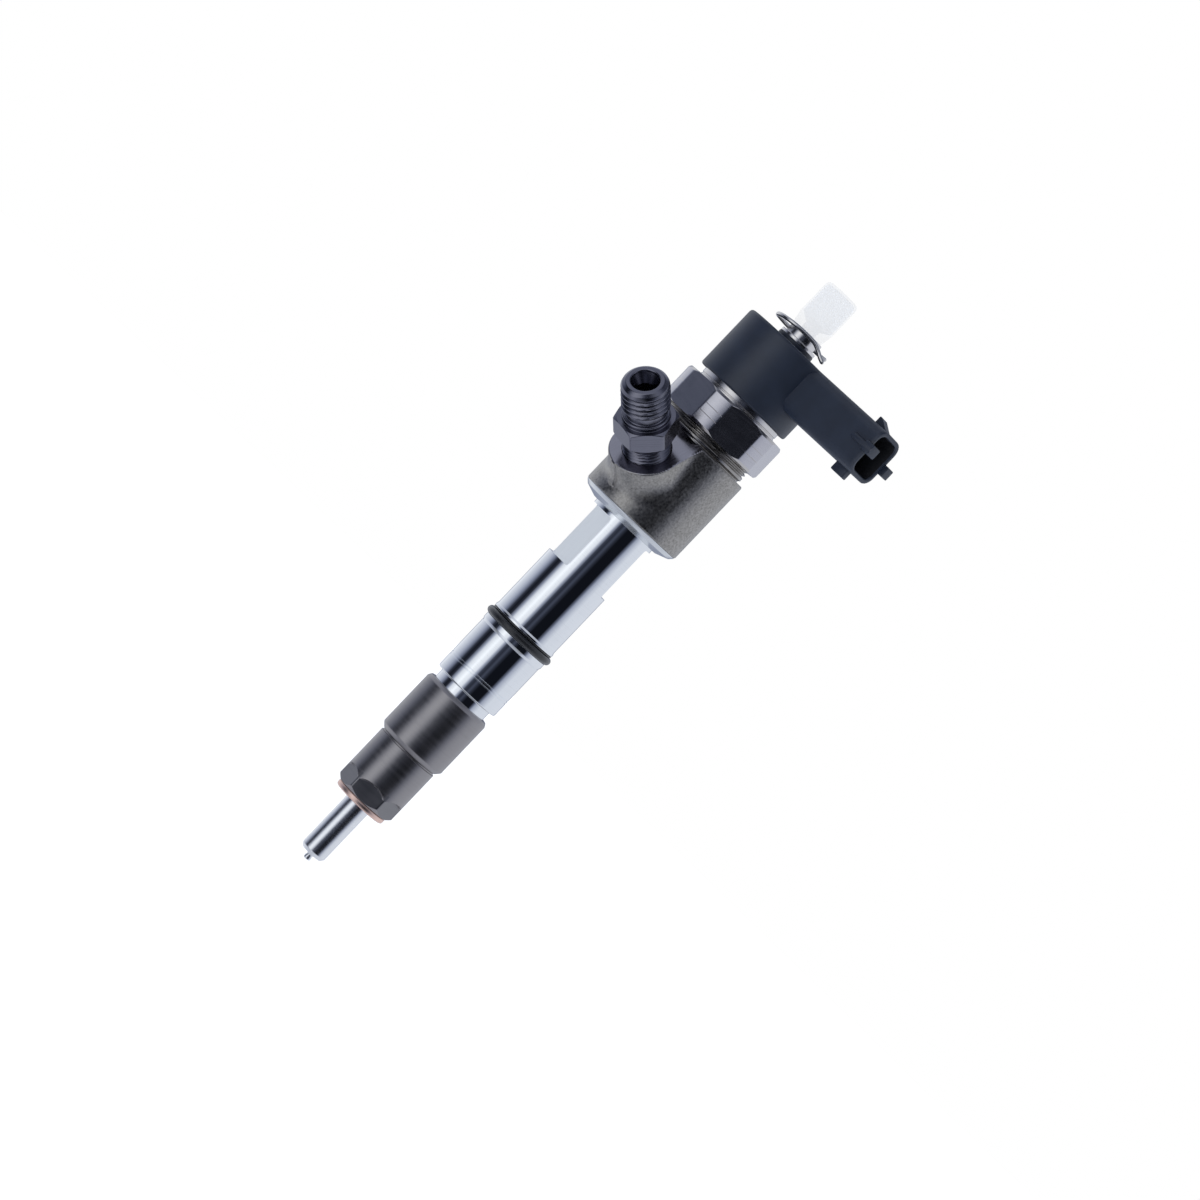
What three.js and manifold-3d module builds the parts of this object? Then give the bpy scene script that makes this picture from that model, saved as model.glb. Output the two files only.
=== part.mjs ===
// A common-rail diesel injector with a solenoid valve, in millimetres.
// Its axis is Z, with the nozzle pointing down and the sealing washer's underside at Z = 0.
// The high-pressure inlet leans towards +X and the electrical connector points along +Y.

import * as THREE from 'three';
import { mergeVertices } from 'three/addons/utils/BufferGeometryUtils.js';
import Module from 'manifold-3d';

const wasm = await Module();
wasm.setup();

// ---------------------------------------------------------------- driving dimensions

// Facets
const SIDES = 24;
const SMALL_SIDES = 16;
const DRILL_SIDES = 8;
const WIRE_SIDES = 5;
const STEPS_PER_TURN = 8;

// Clearances
const RUNNING = 0.03;
const THREAD = 0.1;
const PRESS = 0.05;
const LOOSE = 0.3;
const BREAK = 0.3;

// Sealing washer
const washerThickness = 1.5;
const washerOuterRadius = 7.4;

// Nozzle
const stemRadius = 3.5;
const stemLength = 16.8;
const stemChamfer = 1;
const sacRadius = 0.95;
const sacLength = 1.8;
const sacBore = 0.4;
const sacFloor = 0.6;
const seatBelowStem = 0.35;
const rootStep = 0.8;
const seatHalfAngle = THREE.MathUtils.degToRad(30);
const needleGuideRadius = 2;
const needleStemRadius = 1.6;
const needleGap = 0.6;
const needlePinRadius = 1.25;
const needlePinLength = 3;
const needleStandOff = 0.2;
const galleryRadius = 3;
const galleryHeight = 2.2;
const galleryAboveShoulder = 3;
const shoulderHeight = 13;
const feedTopShift = 0.28;
const feedFootInset = 0.2;
const dowelRadius = 0.6;
const dowelLength = 3;
const dowelHoleSpare = 0.2;

// Nozzle nut
const nutLength = 34;
const nutFloor = 4.9;
const nutWall = 1.55;
const nutHexHeight = 4.4;
const nutHexCut = 1.05;
const nutStep = 0.95;
const nutStepHeight = 16.7;
const nutStepSlope = 1.1;
const nutLipChamfer = 0.6;
const nutBoreStepHeight = 1.4;
const nutFlatAzimuth = 34.4;

// Body: the shank is the driving diameter, and the necks and the nut follow it
const shankRadius = 9.2;
const neckUndercut = 1.35;
const shoulderUndercut = 0.75;
const neckLength = 2.1;
const shoulderLength = 1.8;
const shoulderSlope = 0.7;
const lowerShankLength = 18;
const upperShankLength = 18.9;
const sealLandStep = 0.2;
const sealLandLength = 2.1;
const sealLandTop = 0.5;
const sealLandSlope = 0.9;
const clampFlatLength = 15.7;
const clampFlatDepth = 3.2;
const clampFlatAzimuth = -34.8;
const collarHeight = 1;
const headConeStart = 1;
const headStep = 1.45;
const headHeight = 26.1;
const headConeHeight = 2.3;
const headTopChamfer = 0.5;
const threadLength = 7.6;
const pressureBoreRadius = 0.9;

// Shank seals
const oRingSection = 1;
const grooveDepth = 1.05;
const backupThickness = 0.35;
const backupStand = 0.15;

// Nozzle spring and control piston
const chamberRadius = 3.8;
const chamberDepth = 17.6;
const springSeatHeight = 1.5;
const springShimHeight = 1;
const nozzleWireRadius = 0.5;
const nozzleSpringTurns = 7;
const pistonRodRadius = 1.75;
const pistonGuideRadius = 2.15;
const pistonGap = 0.35;
const pistonGuideLength = 15.6;
const pistonInValve = 10.4;

// Valve stack in the head
const wellDepth = 16;
const noseWall = 2.25;
const noseGap = 0.6;
const sealRingHeight = 1.2;
const valveFlangeStep = 3.6;
const valveFlangeHeight = 3;
const controlChamberHeight = 0.6;
const throttleRadius = 0.35;
const ballSeatRadius = 0.9;
const ballSeatDepth = 0.4;
const ballRadius = 0.675;
const ballHolderRadius = 1.6;
const ballHolderHeight = 1.7;
const liftShimHeight = 0.5;
const guideFlangeHeight = 1.5;
const guideColumnRadius = 3;
const guideColumnHeight = 2.8;
const clampNutHeight = 1.6;
const clampNutWall = 1.8;

// Armature
const armatureSpaceDepth = 4.9;
const armaturePinRadius = 1.3;
const plateInset = 2;
const plateThickness = 1.6;
const plateDepth = 1.5;
const plateSlotWidth = 1.4;
const plateSlotCount = 4;
const circlipHeight = 0.6;
const circlipRadius = 2.3;
const circlipGroove = 0.3;
const armatureWireRadius = 0.4;
const armatureSpringTurns = 4;
const airGap = 0.2;

// Solenoid
const coreRadius = 10.6;
const coreHeight = 11;
const coreRoof = 2;
const coreBore = 2.6;
const poleWall = 3;
const rimWall = 1.6;
const coilHeight = 8.8;
const bobbinWall = 0.6;
const returnHoleRadius = 1.2;
const valveWireRadius = 0.35;
const valveSpringTurns = 7;
const valveShimHeight = 0.8;
const sleeveWall = 1.3;
const sleeveFlangeStep = 0.9;
const threadStep = 0.2;
const sleeveFlangeHeight = 2.9;
const sleeveLipHeight = 0.7;
const sleeveLipWidth = 1.3;
const solenoidSealSection = 0.5;
const solenoidNutWall = 1.25;
const solenoidNutCorner = 0.85;
const solenoidNutHeight = 9.9;
const solenoidNutRoof = 2.8;
const solenoidNutAzimuth = -10;

// Plastic cap and connector
const capWall = 1.75;
const capHeight = 18;
const capEdge = 1;
const capAboveNut = 1.9;
const armReach = 39.5;
const armHeight = 13;
const armWidth = 11.2;
const armCorner = 3;
const armWall = 1.2;
const socketDepth = 13.5;
const socketCorner = 2;
const lugReach = 2.3;
const lugWidth = 2.8;
const lugLength = 5;
const lugSetback = 2.5;
const rampHeight = 1.9;
const keyRidgeWidth = 1.5;
const keyRidgeHeight = 0.8;
const keyRidgeLength = 5.7;
const keyTongueReach = 1.95;
const keyOverhang = 1.4;
const keyOffset = 1.1;
const farLugDrop = 0.6;

// Terminals
const bladeThickness = 0.8;
const bladeWidth = 2.4;
const bladeSpacing = 5;
const bladeSetback = 4;
const legWidth = 1;
const legInset = 0.9;

// Return port
const portWall = 2.25;
const portFlangeHeight = 2.2;
const portFlangeStep = 0.05;
const portStemStep = 0.55;
const portCollarStep = 0.1;
const portCollarHeight = 1.2;
const portShoulderHeight = 0.9;
const portGrooveHeight = 1.7;
const portGrooveDepth = 0.95;
const portRimHeight = 1;
const portBore = 3;
const portBoreDepth = 9.9;

// Retaining clip
const clipWireRadius = 0.55;
const clipBow = 3.3;
const clipTailStand = 2.35;
const clipFlare = 1.3;
const clipAzimuth = -55.6;

// Protective cap
const plugDepth = 5.4;
const plugWall = 0.8;
const hoodNeckWall = 1.45;
const hoodNeckHeight = 2.3;
const hoodStep = 0.55;
const hoodHeight = 13;
const hoodEdge = 0.8;

// High-pressure inlet, measured along its own axis from the injector's axis
const inletAngle = THREE.MathUtils.degToRad(60);
const inletBelowHeadTop = 17.8;
const bossWall = 3.4;
const bossStand = 3.45;
const inletSocketDepth = 6;
const inletThreadRadius = 6;
const inletHexStep = 1;
const inletHexHeight = 5.6;
const inletStud = 5.2;
const inletHexAzimuth = 55;
const inletCollarStep = 0.15;
const inletCollarHeight = 1.2;
const inletNeckDepth = 1;
const inletNeckHeight = 2.9;
const inletThreadHeight = 7.6;
const inletEdge = 0.6;
const inletRimWidth = 1;
const inletRimRound = 1.4;
const inletRimDrop = 1.6;
const filterStand = 2.5;
const inletDrillRadius = 1.5;
const filterRadius = 2.2;
const filterLength = 15;
const filterWall = 0.9;

// ---------------------------------------------------------------- derived heights

const nutFloorZ = washerThickness + nutFloor;
const jointZ = nutFloorZ + shoulderHeight;
const nutTopZ = washerThickness + nutLength;
const chamberTopZ = jointZ + chamberDepth;
const needleShoulderZ = jointZ + needleStandOff;
const springSeatTopZ = needleShoulderZ + springSeatHeight;
const needleTopZ = needleShoulderZ + needlePinLength;
const springShimZ = chamberTopZ - springShimHeight;

const landZ = nutTopZ + neckLength;
const grooveZ = landZ + lowerShankLength;
const grooveWidth = 2 * oRingSection + backupThickness + 5 * PRESS;
const grooveTopZ = grooveZ + grooveWidth;
const clampFlatZ = grooveTopZ + upperShankLength;
const collarZ = clampFlatZ + clampFlatLength;
const headZ = collarZ + collarHeight;
const headTopZ = headZ + headHeight;
const bodyTopZ = headTopZ + threadLength;

const armatureFloorZ = bodyTopZ - armatureSpaceDepth;
const guideFlangeTopZ = armatureFloorZ - clampNutHeight;
const guideFlangeZ = guideFlangeTopZ - guideFlangeHeight;
const valveTopZ = guideFlangeZ - liftShimHeight;
const valveSeatZ = valveTopZ - valveFlangeHeight;
const wellFloorZ = valveSeatZ - wellDepth;
const noseZ = wellFloorZ + sealRingHeight;
const pistonTopZ = noseZ + pistonInValve;
const ballHolderZ = valveTopZ + LOOSE;
const ballHolderTopZ = ballHolderZ + ballHolderHeight;
const plateZ = bodyTopZ - plateDepth;
const plateTopZ = plateZ + plateThickness;
const coreZ = plateTopZ + airGap;
const coreTopZ = coreZ + coreHeight;
const valveSpringZ = plateTopZ + circlipHeight;
const coreBoreTopZ = coreTopZ - coreRoof;
const valveShimZ = coreBoreTopZ - valveShimHeight;

const sleeveFlangeTopZ = bodyTopZ + sleeveFlangeHeight;
const solenoidNutTopZ = sleeveFlangeTopZ + solenoidNutRoof;
const solenoidNutZ = solenoidNutTopZ - solenoidNutHeight;
const sleeveTopZ = coreTopZ + PRESS + sleeveLipHeight;
const capZ = solenoidNutTopZ + capAboveNut;
const capTopZ = capZ + capHeight;
const armCentreZ = capTopZ - armHeight / 2;
const portHeadZ = capTopZ + portCollarHeight;
const portGrooveZ = portHeadZ + portShoulderHeight;
const portGrooveTopZ = portGrooveZ + portGrooveHeight;
const portTopZ = portGrooveTopZ + portRimHeight;

// Derived radii
const neckRadius = shankRadius - neckUndercut;
const shoulderRadius = neckRadius - shoulderUndercut;
const nutBore = neckRadius + THREAD;
const nutRadius = nutBore + nutWall;
const nutBarrelRadius = nutRadius - nutStep;
const sealLandRadius = shankRadius + sealLandStep;
const sealFloorRadius = shankRadius - grooveDepth;
const pressureBoreOffset = (chamberRadius + shoulderRadius - BREAK) / 2;

const pistonBoreRadius = pistonGuideRadius + pistonGap;
const noseRadius = pistonGuideRadius + noseWall;
const wellRadius = noseRadius + noseGap;
const valveFlangeRadius = noseRadius + valveFlangeStep;
const valveWellRadius = valveFlangeRadius + THREAD;
const clampNutBore = valveFlangeRadius - clampNutWall;

const plateRadius = coreRadius - plateInset;
const armatureSpaceRadius = plateRadius + 1;
const coilInnerRadius = coreBore + poleWall;
const coilOuterRadius = coreRadius - rimWall;
const legRadius = coilInnerRadius + legInset;
const sleeveBore = coreRadius + THREAD;
const sleeveRadius = sleeveBore + sleeveWall;
const sleeveFlangeRadius = sleeveRadius + sleeveFlangeStep;
const threadRadius = sleeveFlangeRadius + threadStep;
const headRadius = threadRadius + headStep;
const solenoidNutApothem = threadRadius + THREAD + solenoidNutWall;
const solenoidNutRadius = solenoidNutApothem + solenoidNutCorner;
const capRadius = sleeveRadius + capWall;

const portHeadRadius = portBore + portWall;
const portFlangeRadius = portHeadRadius - portFlangeStep;
const portStemRadius = portHeadRadius - portStemStep;
const portCollarRadius = portHeadRadius + portCollarStep;
const portGrooveRadius = portHeadRadius - portGrooveDepth;
const hoodNeckRadius = portBore + hoodNeckWall;
const hoodRadius = hoodNeckRadius + hoodStep;
const clipLegOffset = portGrooveRadius + THREAD + clipWireRadius;
const clipReach = clipLegOffset + clipBow;
const clipTail = portHeadRadius + clipTailStand;

const bossRadius = inletThreadRadius + bossWall;
const bossReach = headRadius + bossStand;
const inletHexApothem = inletThreadRadius + inletHexStep;
const inletCollarRadius = inletThreadRadius - inletCollarStep;
const inletNeckRadius = inletThreadRadius - inletNeckDepth;
const inletMouthRadius = inletThreadRadius - inletRimRound - inletRimWidth;
const inletBaseZ = headTopZ - inletBelowHeadTop;

// ---------------------------------------------------------------- shape helpers

function signedVolume(positions, index) {
  const a = new THREE.Vector3();
  const b = new THREE.Vector3();
  const c = new THREE.Vector3();
  let volume = 0;
  for (let i = 0; i < index.length; i += 3) {
    a.fromArray(positions, 3 * index[i]);
    b.fromArray(positions, 3 * index[i + 1]);
    c.fromArray(positions, 3 * index[i + 2]);
    volume += a.dot(b.cross(c)) / 6;
  }
  return volume;
}

// A closed solid, facing out, from any closed three.js geometry
function solid(geometry) {
  geometry.deleteAttribute('normal');
  geometry.deleteAttribute('uv');
  const merged = mergeVertices(geometry, 1e-4);
  const positions = merged.attributes.position.array;
  const all = merged.index.array;
  const kept = [];
  for (let i = 0; i < all.length; i += 3) {
    const [a, b, c] = [all[i], all[i + 1], all[i + 2]];
    if (a !== b && b !== c && c !== a) {
      kept.push(a, b, c);
    }
  }
  if (signedVolume(positions, kept) < 0) {
    kept.reverse();
  }
  const mesh = new wasm.Mesh({
    numProp: 3,
    vertProperties: new Float32Array(positions),
    triVerts: Uint32Array.from(kept),
  });
  return new wasm.Manifold(mesh);
}

function geometryOf(manifold) {
  const mesh = manifold.getMesh();
  const geometry = new THREE.BufferGeometry();
  geometry.setAttribute('position', new THREE.BufferAttribute(mesh.vertProperties, 3));
  geometry.setIndex(new THREE.BufferAttribute(mesh.triVerts, 1));
  geometry.computeVertexNormals();
  return geometry;
}

// A turned piece about Z from [radius, height] points
function turnedGeometry(profile, sides = SIDES) {
  const points = profile.map(([radius, height]) => new THREE.Vector2(radius, height));
  return new THREE.LatheGeometry(points, sides).rotateX(Math.PI / 2);
}

function turned(profile, sides) {
  return solid(turnedGeometry(profile, sides));
}

// A ring or washer, with its section closed on itself
function ringProfile(inner, outer, bottom, top) {
  return [[inner, bottom], [outer, bottom], [outer, top], [inner, top], [inner, bottom]];
}

function rodProfile(radius, bottom, top) {
  return [[0, bottom], [radius, bottom], [radius, top], [0, top]];
}

// A ring of round section
function torus(centreRadius, sectionRadius, centreZ, sectionSides = 10) {
  const geometry = new THREE.TorusGeometry(centreRadius, sectionRadius, sectionSides, SIDES);
  return solid(geometry.translate(0, 0, centreZ));
}

function box(x0, x1, y0, y1, z0, z1) {
  const geometry = new THREE.BoxGeometry(x1 - x0, y1 - y0, z1 - z0);
  return solid(geometry.translate((x0 + x1) / 2, (y0 + y1) / 2, (z0 + z1) / 2));
}

// A hexagonal prism whose first flat faces the given azimuth in degrees
function hexagon(apothem, bottom, top, azimuth) {
  const shape = new THREE.Shape();
  const corner = apothem / Math.cos(Math.PI / 6);
  for (let i = 0; i < 6; i += 1) {
    const angle = THREE.MathUtils.degToRad(azimuth + 30 + 60 * i);
    const x = corner * Math.cos(angle);
    const y = corner * Math.sin(angle);
    if (i === 0) {
      shape.moveTo(x, y);
    } else {
      shape.lineTo(x, y);
    }
  }
  shape.closePath();
  const options = { depth: top - bottom, bevelEnabled: false };
  return solid(new THREE.ExtrudeGeometry(shape, options).translate(0, 0, bottom));
}

// A round hole or peg between two points
function drill(start, end, radius, sides = DRILL_SIDES) {
  const along = new THREE.Vector3().subVectors(end, start);
  const geometry = new THREE.CylinderGeometry(radius, radius, along.length(), sides);
  const turn = new THREE.Quaternion();
  turn.setFromUnitVectors(new THREE.Vector3(0, 1, 0), along.clone().normalize());
  geometry.applyQuaternion(turn);
  const middle = new THREE.Vector3().addVectors(start, end).multiplyScalar(0.5);
  return solid(geometry.translate(middle.x, middle.y, middle.z));
}

// A point at a radius, azimuth in degrees and height
function polar(radius, azimuth, z) {
  const angle = THREE.MathUtils.degToRad(azimuth);
  return new THREE.Vector3(radius * Math.cos(angle), radius * Math.sin(angle), z);
}

function wireShape(radius, sides) {
  const shape = new THREE.Shape();
  for (let i = 0; i < sides; i += 1) {
    const angle = (2 * Math.PI * i) / sides;
    const x = radius * Math.cos(angle);
    const y = radius * Math.sin(angle);
    if (i === 0) {
      shape.moveTo(x, y);
    } else {
      shape.lineTo(x, y);
    }
  }
  shape.closePath();
  return shape;
}

class Helix extends THREE.Curve {
  constructor(radius, bottom, top, turns) {
    super();
    Object.assign(this, { radius, bottom, top, turns });
  }

  getPoint(t, target = new THREE.Vector3()) {
    const angle = 2 * Math.PI * this.turns * t;
    const z = THREE.MathUtils.lerp(this.bottom, this.top, t);
    return target.set(this.radius * Math.cos(angle), this.radius * Math.sin(angle), z);
  }
}

// A coil spring that just fits between two heights
function coilSpring(radius, wireRadius, bottom, top, turns) {
  const inset = wireRadius * 1.15 + RUNNING;
  const path = new Helix(radius, bottom + inset, top - inset, turns);
  const steps = Math.round(turns * STEPS_PER_TURN);
  const options = { steps, extrudePath: path, bevelEnabled: false };
  return solid(new THREE.ExtrudeGeometry(wireShape(wireRadius, WIRE_SIDES), options));
}

// A block with rounded long edges, centred on the XZ point (0, centreZ) and running along +Y
function roundedBar(width, height, corner, y0, y1, centreZ) {
  const x = width / 2 - corner;
  const y = height / 2 - corner;
  const shape = new THREE.Shape();
  shape.absarc(x, y, corner, 0, Math.PI / 2);
  shape.absarc(-x, y, corner, Math.PI / 2, Math.PI);
  shape.absarc(-x, -y, corner, Math.PI, 1.5 * Math.PI);
  shape.absarc(x, -y, corner, 1.5 * Math.PI, 2 * Math.PI);
  shape.closePath();
  const options = { depth: y1 - y0, bevelEnabled: false, curveSegments: 4 };
  const geometry = new THREE.ExtrudeGeometry(shape, options);
  return solid(geometry.rotateX(-Math.PI / 2).translate(0, y0, centreZ));
}

// ---------------------------------------------------------------- materials

function finish(color, roughness, metalness) {
  return new THREE.MeshStandardMaterial({ color, roughness, metalness });
}

const groundSteel = finish(0xc9cdd4, 0.18, 1);
const darkSteel = finish(0x5a5654, 0.45, 0.9);
const forgedSteel = finish(0x7d7a75, 0.6, 0.9);
const blackSteel = finish(0x2c2e38, 0.4, 0.8);
const copper = finish(0xb4785a, 0.4, 1);
const springSteel = finish(0x8c8f94, 0.35, 1);
const plastic = finish(0x2a333d, 0.5, 0);
const seal = finish(0x111214, 0.6, 0);
const clearPlastic = finish(0xe8ecf4, 0.35, 0);
const coilWire = finish(0x9c4a24, 0.4, 0.7);
const tinned = finish(0xb9bcc0, 0.35, 1);

const group = new THREE.Group();

function addPart(name, shape, material, parent = group) {
  const mesh = new THREE.Mesh(geometryOf(shape), material);
  mesh.name = name;
  parent.add(mesh);
}

// ---------------------------------------------------------------- nozzle end

const seatBottomZ = -stemLength - seatBelowStem;
const seatSlope = Math.tan(seatHalfAngle);
const stemBore = needleStemRadius + needleGap;
const galleryZ = nutFloorZ + galleryAboveShoulder;
const galleryTopZ = galleryZ + galleryHeight;
const galleryChamfer = galleryRadius - stemBore;

function dowelHoles(depth) {
  const radius = dowelRadius + RUNNING;
  return [120, 240].map((azimuth) => {
    const foot = polar(pressureBoreOffset, azimuth, jointZ - depth);
    const head = polar(pressureBoreOffset, azimuth, jointZ + depth);
    return drill(foot, head, radius);
  });
}

function nozzleBody() {
  const tipZ = -stemLength - sacLength;
  const guideBore = needleGuideRadius + RUNNING;
  const collarRadius = stemRadius + rootStep;
  const profile = [
    [0, tipZ],
    [sacRadius * 0.6, tipZ],
    [sacRadius, tipZ + 0.4],
    [sacRadius, -stemLength],
    [stemRadius - stemChamfer, -stemLength],
    [stemRadius, stemChamfer - stemLength],
    [stemRadius, washerThickness + BREAK],
    [collarRadius, washerThickness + BREAK + rootStep],
    [collarRadius, nutFloorZ],
    [shoulderRadius, nutFloorZ],
    [shoulderRadius, jointZ],
    [guideBore, jointZ],
    [guideBore, galleryTopZ + galleryRadius - guideBore],
    [galleryRadius, galleryTopZ],
    [galleryRadius, galleryZ],
    [stemBore, galleryZ - galleryChamfer],
    [stemBore, seatBottomZ + (stemBore - sacBore) / seatSlope],
    [sacBore, seatBottomZ],
    [sacBore, tipZ + sacFloor],
    [0, tipZ + sacFloor],
  ];
  const feedTop = polar(pressureBoreOffset + feedTopShift, 0, jointZ + 1);
  const feedFoot = polar(galleryRadius - feedFootInset, 0, galleryZ + galleryHeight / 2);
  let shape = turned(profile).subtract(drill(feedTop, feedFoot, pressureBoreRadius - 0.1));
  for (const hole of dowelHoles(dowelLength / 2 + dowelHoleSpare)) {
    shape = shape.subtract(hole);
  }
  return shape;
}

function nozzleNeedle() {
  const tipRadius = sacBore + 0.05;
  const tipZ = seatBottomZ + (tipRadius + 0.025 - sacBore) / seatSlope;
  return turned([
    [0, tipZ],
    [tipRadius, tipZ],
    [needleStemRadius, tipZ + (needleStemRadius - tipRadius) / seatSlope],
    [needleStemRadius, galleryZ + 0.4],
    [needleGuideRadius, galleryZ + 0.4 + needleGuideRadius - needleStemRadius],
    [needleGuideRadius, needleShoulderZ],
    [needlePinRadius, needleShoulderZ],
    [needlePinRadius, needleTopZ],
    [0, needleTopZ],
  ]);
}

function nozzleNut() {
  const chamberBore = shoulderRadius + THREAD;
  const hole = stemRadius + rootStep + LOOSE;
  const stepZ = washerThickness + nutStepHeight;
  const profile = [
    [hole, washerThickness],
    [nutBarrelRadius - nutStep, washerThickness],
    [nutBarrelRadius, washerThickness + nutStep],
    [nutBarrelRadius, stepZ],
    [nutRadius, stepZ + nutStepSlope],
    [nutRadius, nutTopZ - nutLipChamfer],
    [nutRadius - nutLipChamfer, nutTopZ],
    [nutBore, nutTopZ],
    [nutBore, jointZ + nutBoreStepHeight + 2 * THREAD],
    [chamberBore, jointZ + nutBoreStepHeight],
    [chamberBore, nutFloorZ],
    [hole, nutFloorZ],
    [hole, washerThickness],
  ];
  const hexTopZ = washerThickness + nutHexHeight;
  const around = ringProfile(nutBarrelRadius - 3, nutBarrelRadius + 1, washerThickness - 1, hexTopZ);
  const keep = hexagon(nutBarrelRadius - nutHexCut, washerThickness - 2, hexTopZ + 1, nutFlatAzimuth);
  return turned(profile).subtract(turned(around).subtract(keep));
}

addPart('nozzle_body', nozzleBody(), groundSteel);
addPart('nozzle_needle', nozzleNeedle(), groundSteel);
addPart('nozzle_nut', nozzleNut(), darkSteel);
const washer = ringProfile(stemRadius + LOOSE, washerOuterRadius, 0, washerThickness);
addPart('sealing_washer', turned(washer), copper);
['dowel_pin_1', 'dowel_pin_2'].forEach((name, i) => {
  const foot = polar(pressureBoreOffset, 120 + 120 * i, jointZ - dowelLength / 2);
  const head = polar(pressureBoreOffset, 120 + 120 * i, jointZ + dowelLength / 2);
  addPart(name, drill(foot, head, dowelRadius), springSteel);
});

// ---------------------------------------------------------------- spring chamber and piston

const seatRing = ringProfile(
  needlePinRadius + RUNNING, chamberRadius - LOOSE, needleShoulderZ, springSeatTopZ);
addPart('spring_seat', turned(seatRing, SMALL_SIDES), springSteel);

const springRadius = (pistonRodRadius + chamberRadius) / 2 + 0.1;
const nozzleSpring = coilSpring(
  springRadius, nozzleWireRadius, springSeatTopZ, springShimZ, nozzleSpringTurns);
addPart('nozzle_spring', nozzleSpring, springSteel);

const shimRing = ringProfile(
  pistonRodRadius + LOOSE, chamberRadius - 2 * THREAD, springShimZ, chamberTopZ);
addPart('spring_shim', turned(shimRing, SMALL_SIDES), springSteel);

const pistonGuideZ = pistonTopZ - pistonGuideLength;
addPart('control_piston', turned([
  [0, needleTopZ],
  [pistonRodRadius, needleTopZ],
  [pistonRodRadius, pistonGuideZ - 0.4],
  [pistonGuideRadius, pistonGuideZ],
  [pistonGuideRadius, pistonTopZ - 0.2],
  [pistonGuideRadius - 0.2, pistonTopZ],
  [0, pistonTopZ],
]), groundSteel);

// ---------------------------------------------------------------- injector body

// The inlet's own frame: its Z runs out along the fitting from the injector's axis
const inletFrame = new THREE.Matrix4()
  .makeRotationY(inletAngle)
  .setPosition(0, 0, inletBaseZ);

function inInletFrame(geometry) {
  return solid(geometry.applyMatrix4(inletFrame));
}

function bodyTurning() {
  return turned([
    [shoulderRadius, jointZ],
    [shoulderRadius, jointZ + shoulderLength],
    [neckRadius, jointZ + shoulderLength + shoulderSlope],
    [neckRadius, landZ],
    [shankRadius - BREAK, landZ],
    [shankRadius, landZ + BREAK],
    [shankRadius, grooveZ - sealLandLength - sealLandStep],
    [sealLandRadius, grooveZ - sealLandLength],
    [sealLandRadius, grooveZ],
    [sealFloorRadius, grooveZ],
    [sealFloorRadius, grooveTopZ],
    [sealLandRadius, grooveTopZ],
    [sealLandRadius, grooveTopZ + sealLandTop],
    [shankRadius, grooveTopZ + sealLandTop + sealLandSlope],
    [shankRadius, headZ],
    [shankRadius + headConeStart, headZ],
    [headRadius, headZ + headConeHeight],
    [headRadius, headTopZ - headTopChamfer],
    [headRadius - headTopChamfer, headTopZ],
    [threadRadius, headTopZ],
    [threadRadius, bodyTopZ - BREAK],
    [threadRadius - BREAK, bodyTopZ],
    [armatureSpaceRadius, bodyTopZ],
    [armatureSpaceRadius, armatureFloorZ],
    [valveWellRadius, armatureFloorZ],
    [valveWellRadius, valveSeatZ],
    [wellRadius, valveSeatZ],
    [wellRadius, wellFloorZ],
    [pistonBoreRadius, wellFloorZ],
    [pistonBoreRadius, chamberTopZ],
    [chamberRadius, chamberTopZ],
    [chamberRadius, jointZ],
    [shoulderRadius, jointZ],
  ]);
}

function inletBoss() {
  const length = bossReach;
  const geometry = new THREE.CylinderGeometry(bossRadius, bossRadius, length, SIDES);
  return inInletFrame(geometry.rotateX(Math.PI / 2).translate(0, 0, length / 2));
}

// The milled face of the boss runs on across the head, up to the head's top
function bossFaceCut() {
  const depth = headRadius;
  const geometry = new THREE.BoxGeometry(6 * bossRadius, 2 * bossRadius, depth);
  const slab = inInletFrame(geometry.translate(0, 0, bossReach + depth / 2));
  const reach = 3 * headRadius;
  return slab.intersect(box(0, reach, -reach, reach, headZ, headTopZ));
}

function clampFlat(side) {
  const apothem = shankRadius - clampFlatDepth;
  const depth = 2 * clampFlatDepth;
  const width = 2 * shankRadius;
  const geometry = new THREE.BoxGeometry(depth, width, collarZ - clampFlatZ);
  geometry.translate(side * (apothem + depth / 2), 0, (collarZ + clampFlatZ) / 2);
  return solid(geometry.rotateZ(THREE.MathUtils.degToRad(clampFlatAzimuth)));
}

// The body's centre passages, as a plug that keeps the boss out of them
function wellPlug() {
  return turned([
    [0, wellFloorZ],
    [wellRadius, wellFloorZ],
    [wellRadius, valveSeatZ],
    [valveWellRadius, valveSeatZ],
    [valveWellRadius, armatureFloorZ],
    [armatureSpaceRadius, armatureFloorZ],
    [armatureSpaceRadius, bodyTopZ],
    [0, bodyTopZ],
  ]);
}

function pistonPlug() {
  return turned(rodProfile(pistonBoreRadius, chamberTopZ, wellFloorZ + 1));
}

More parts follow.
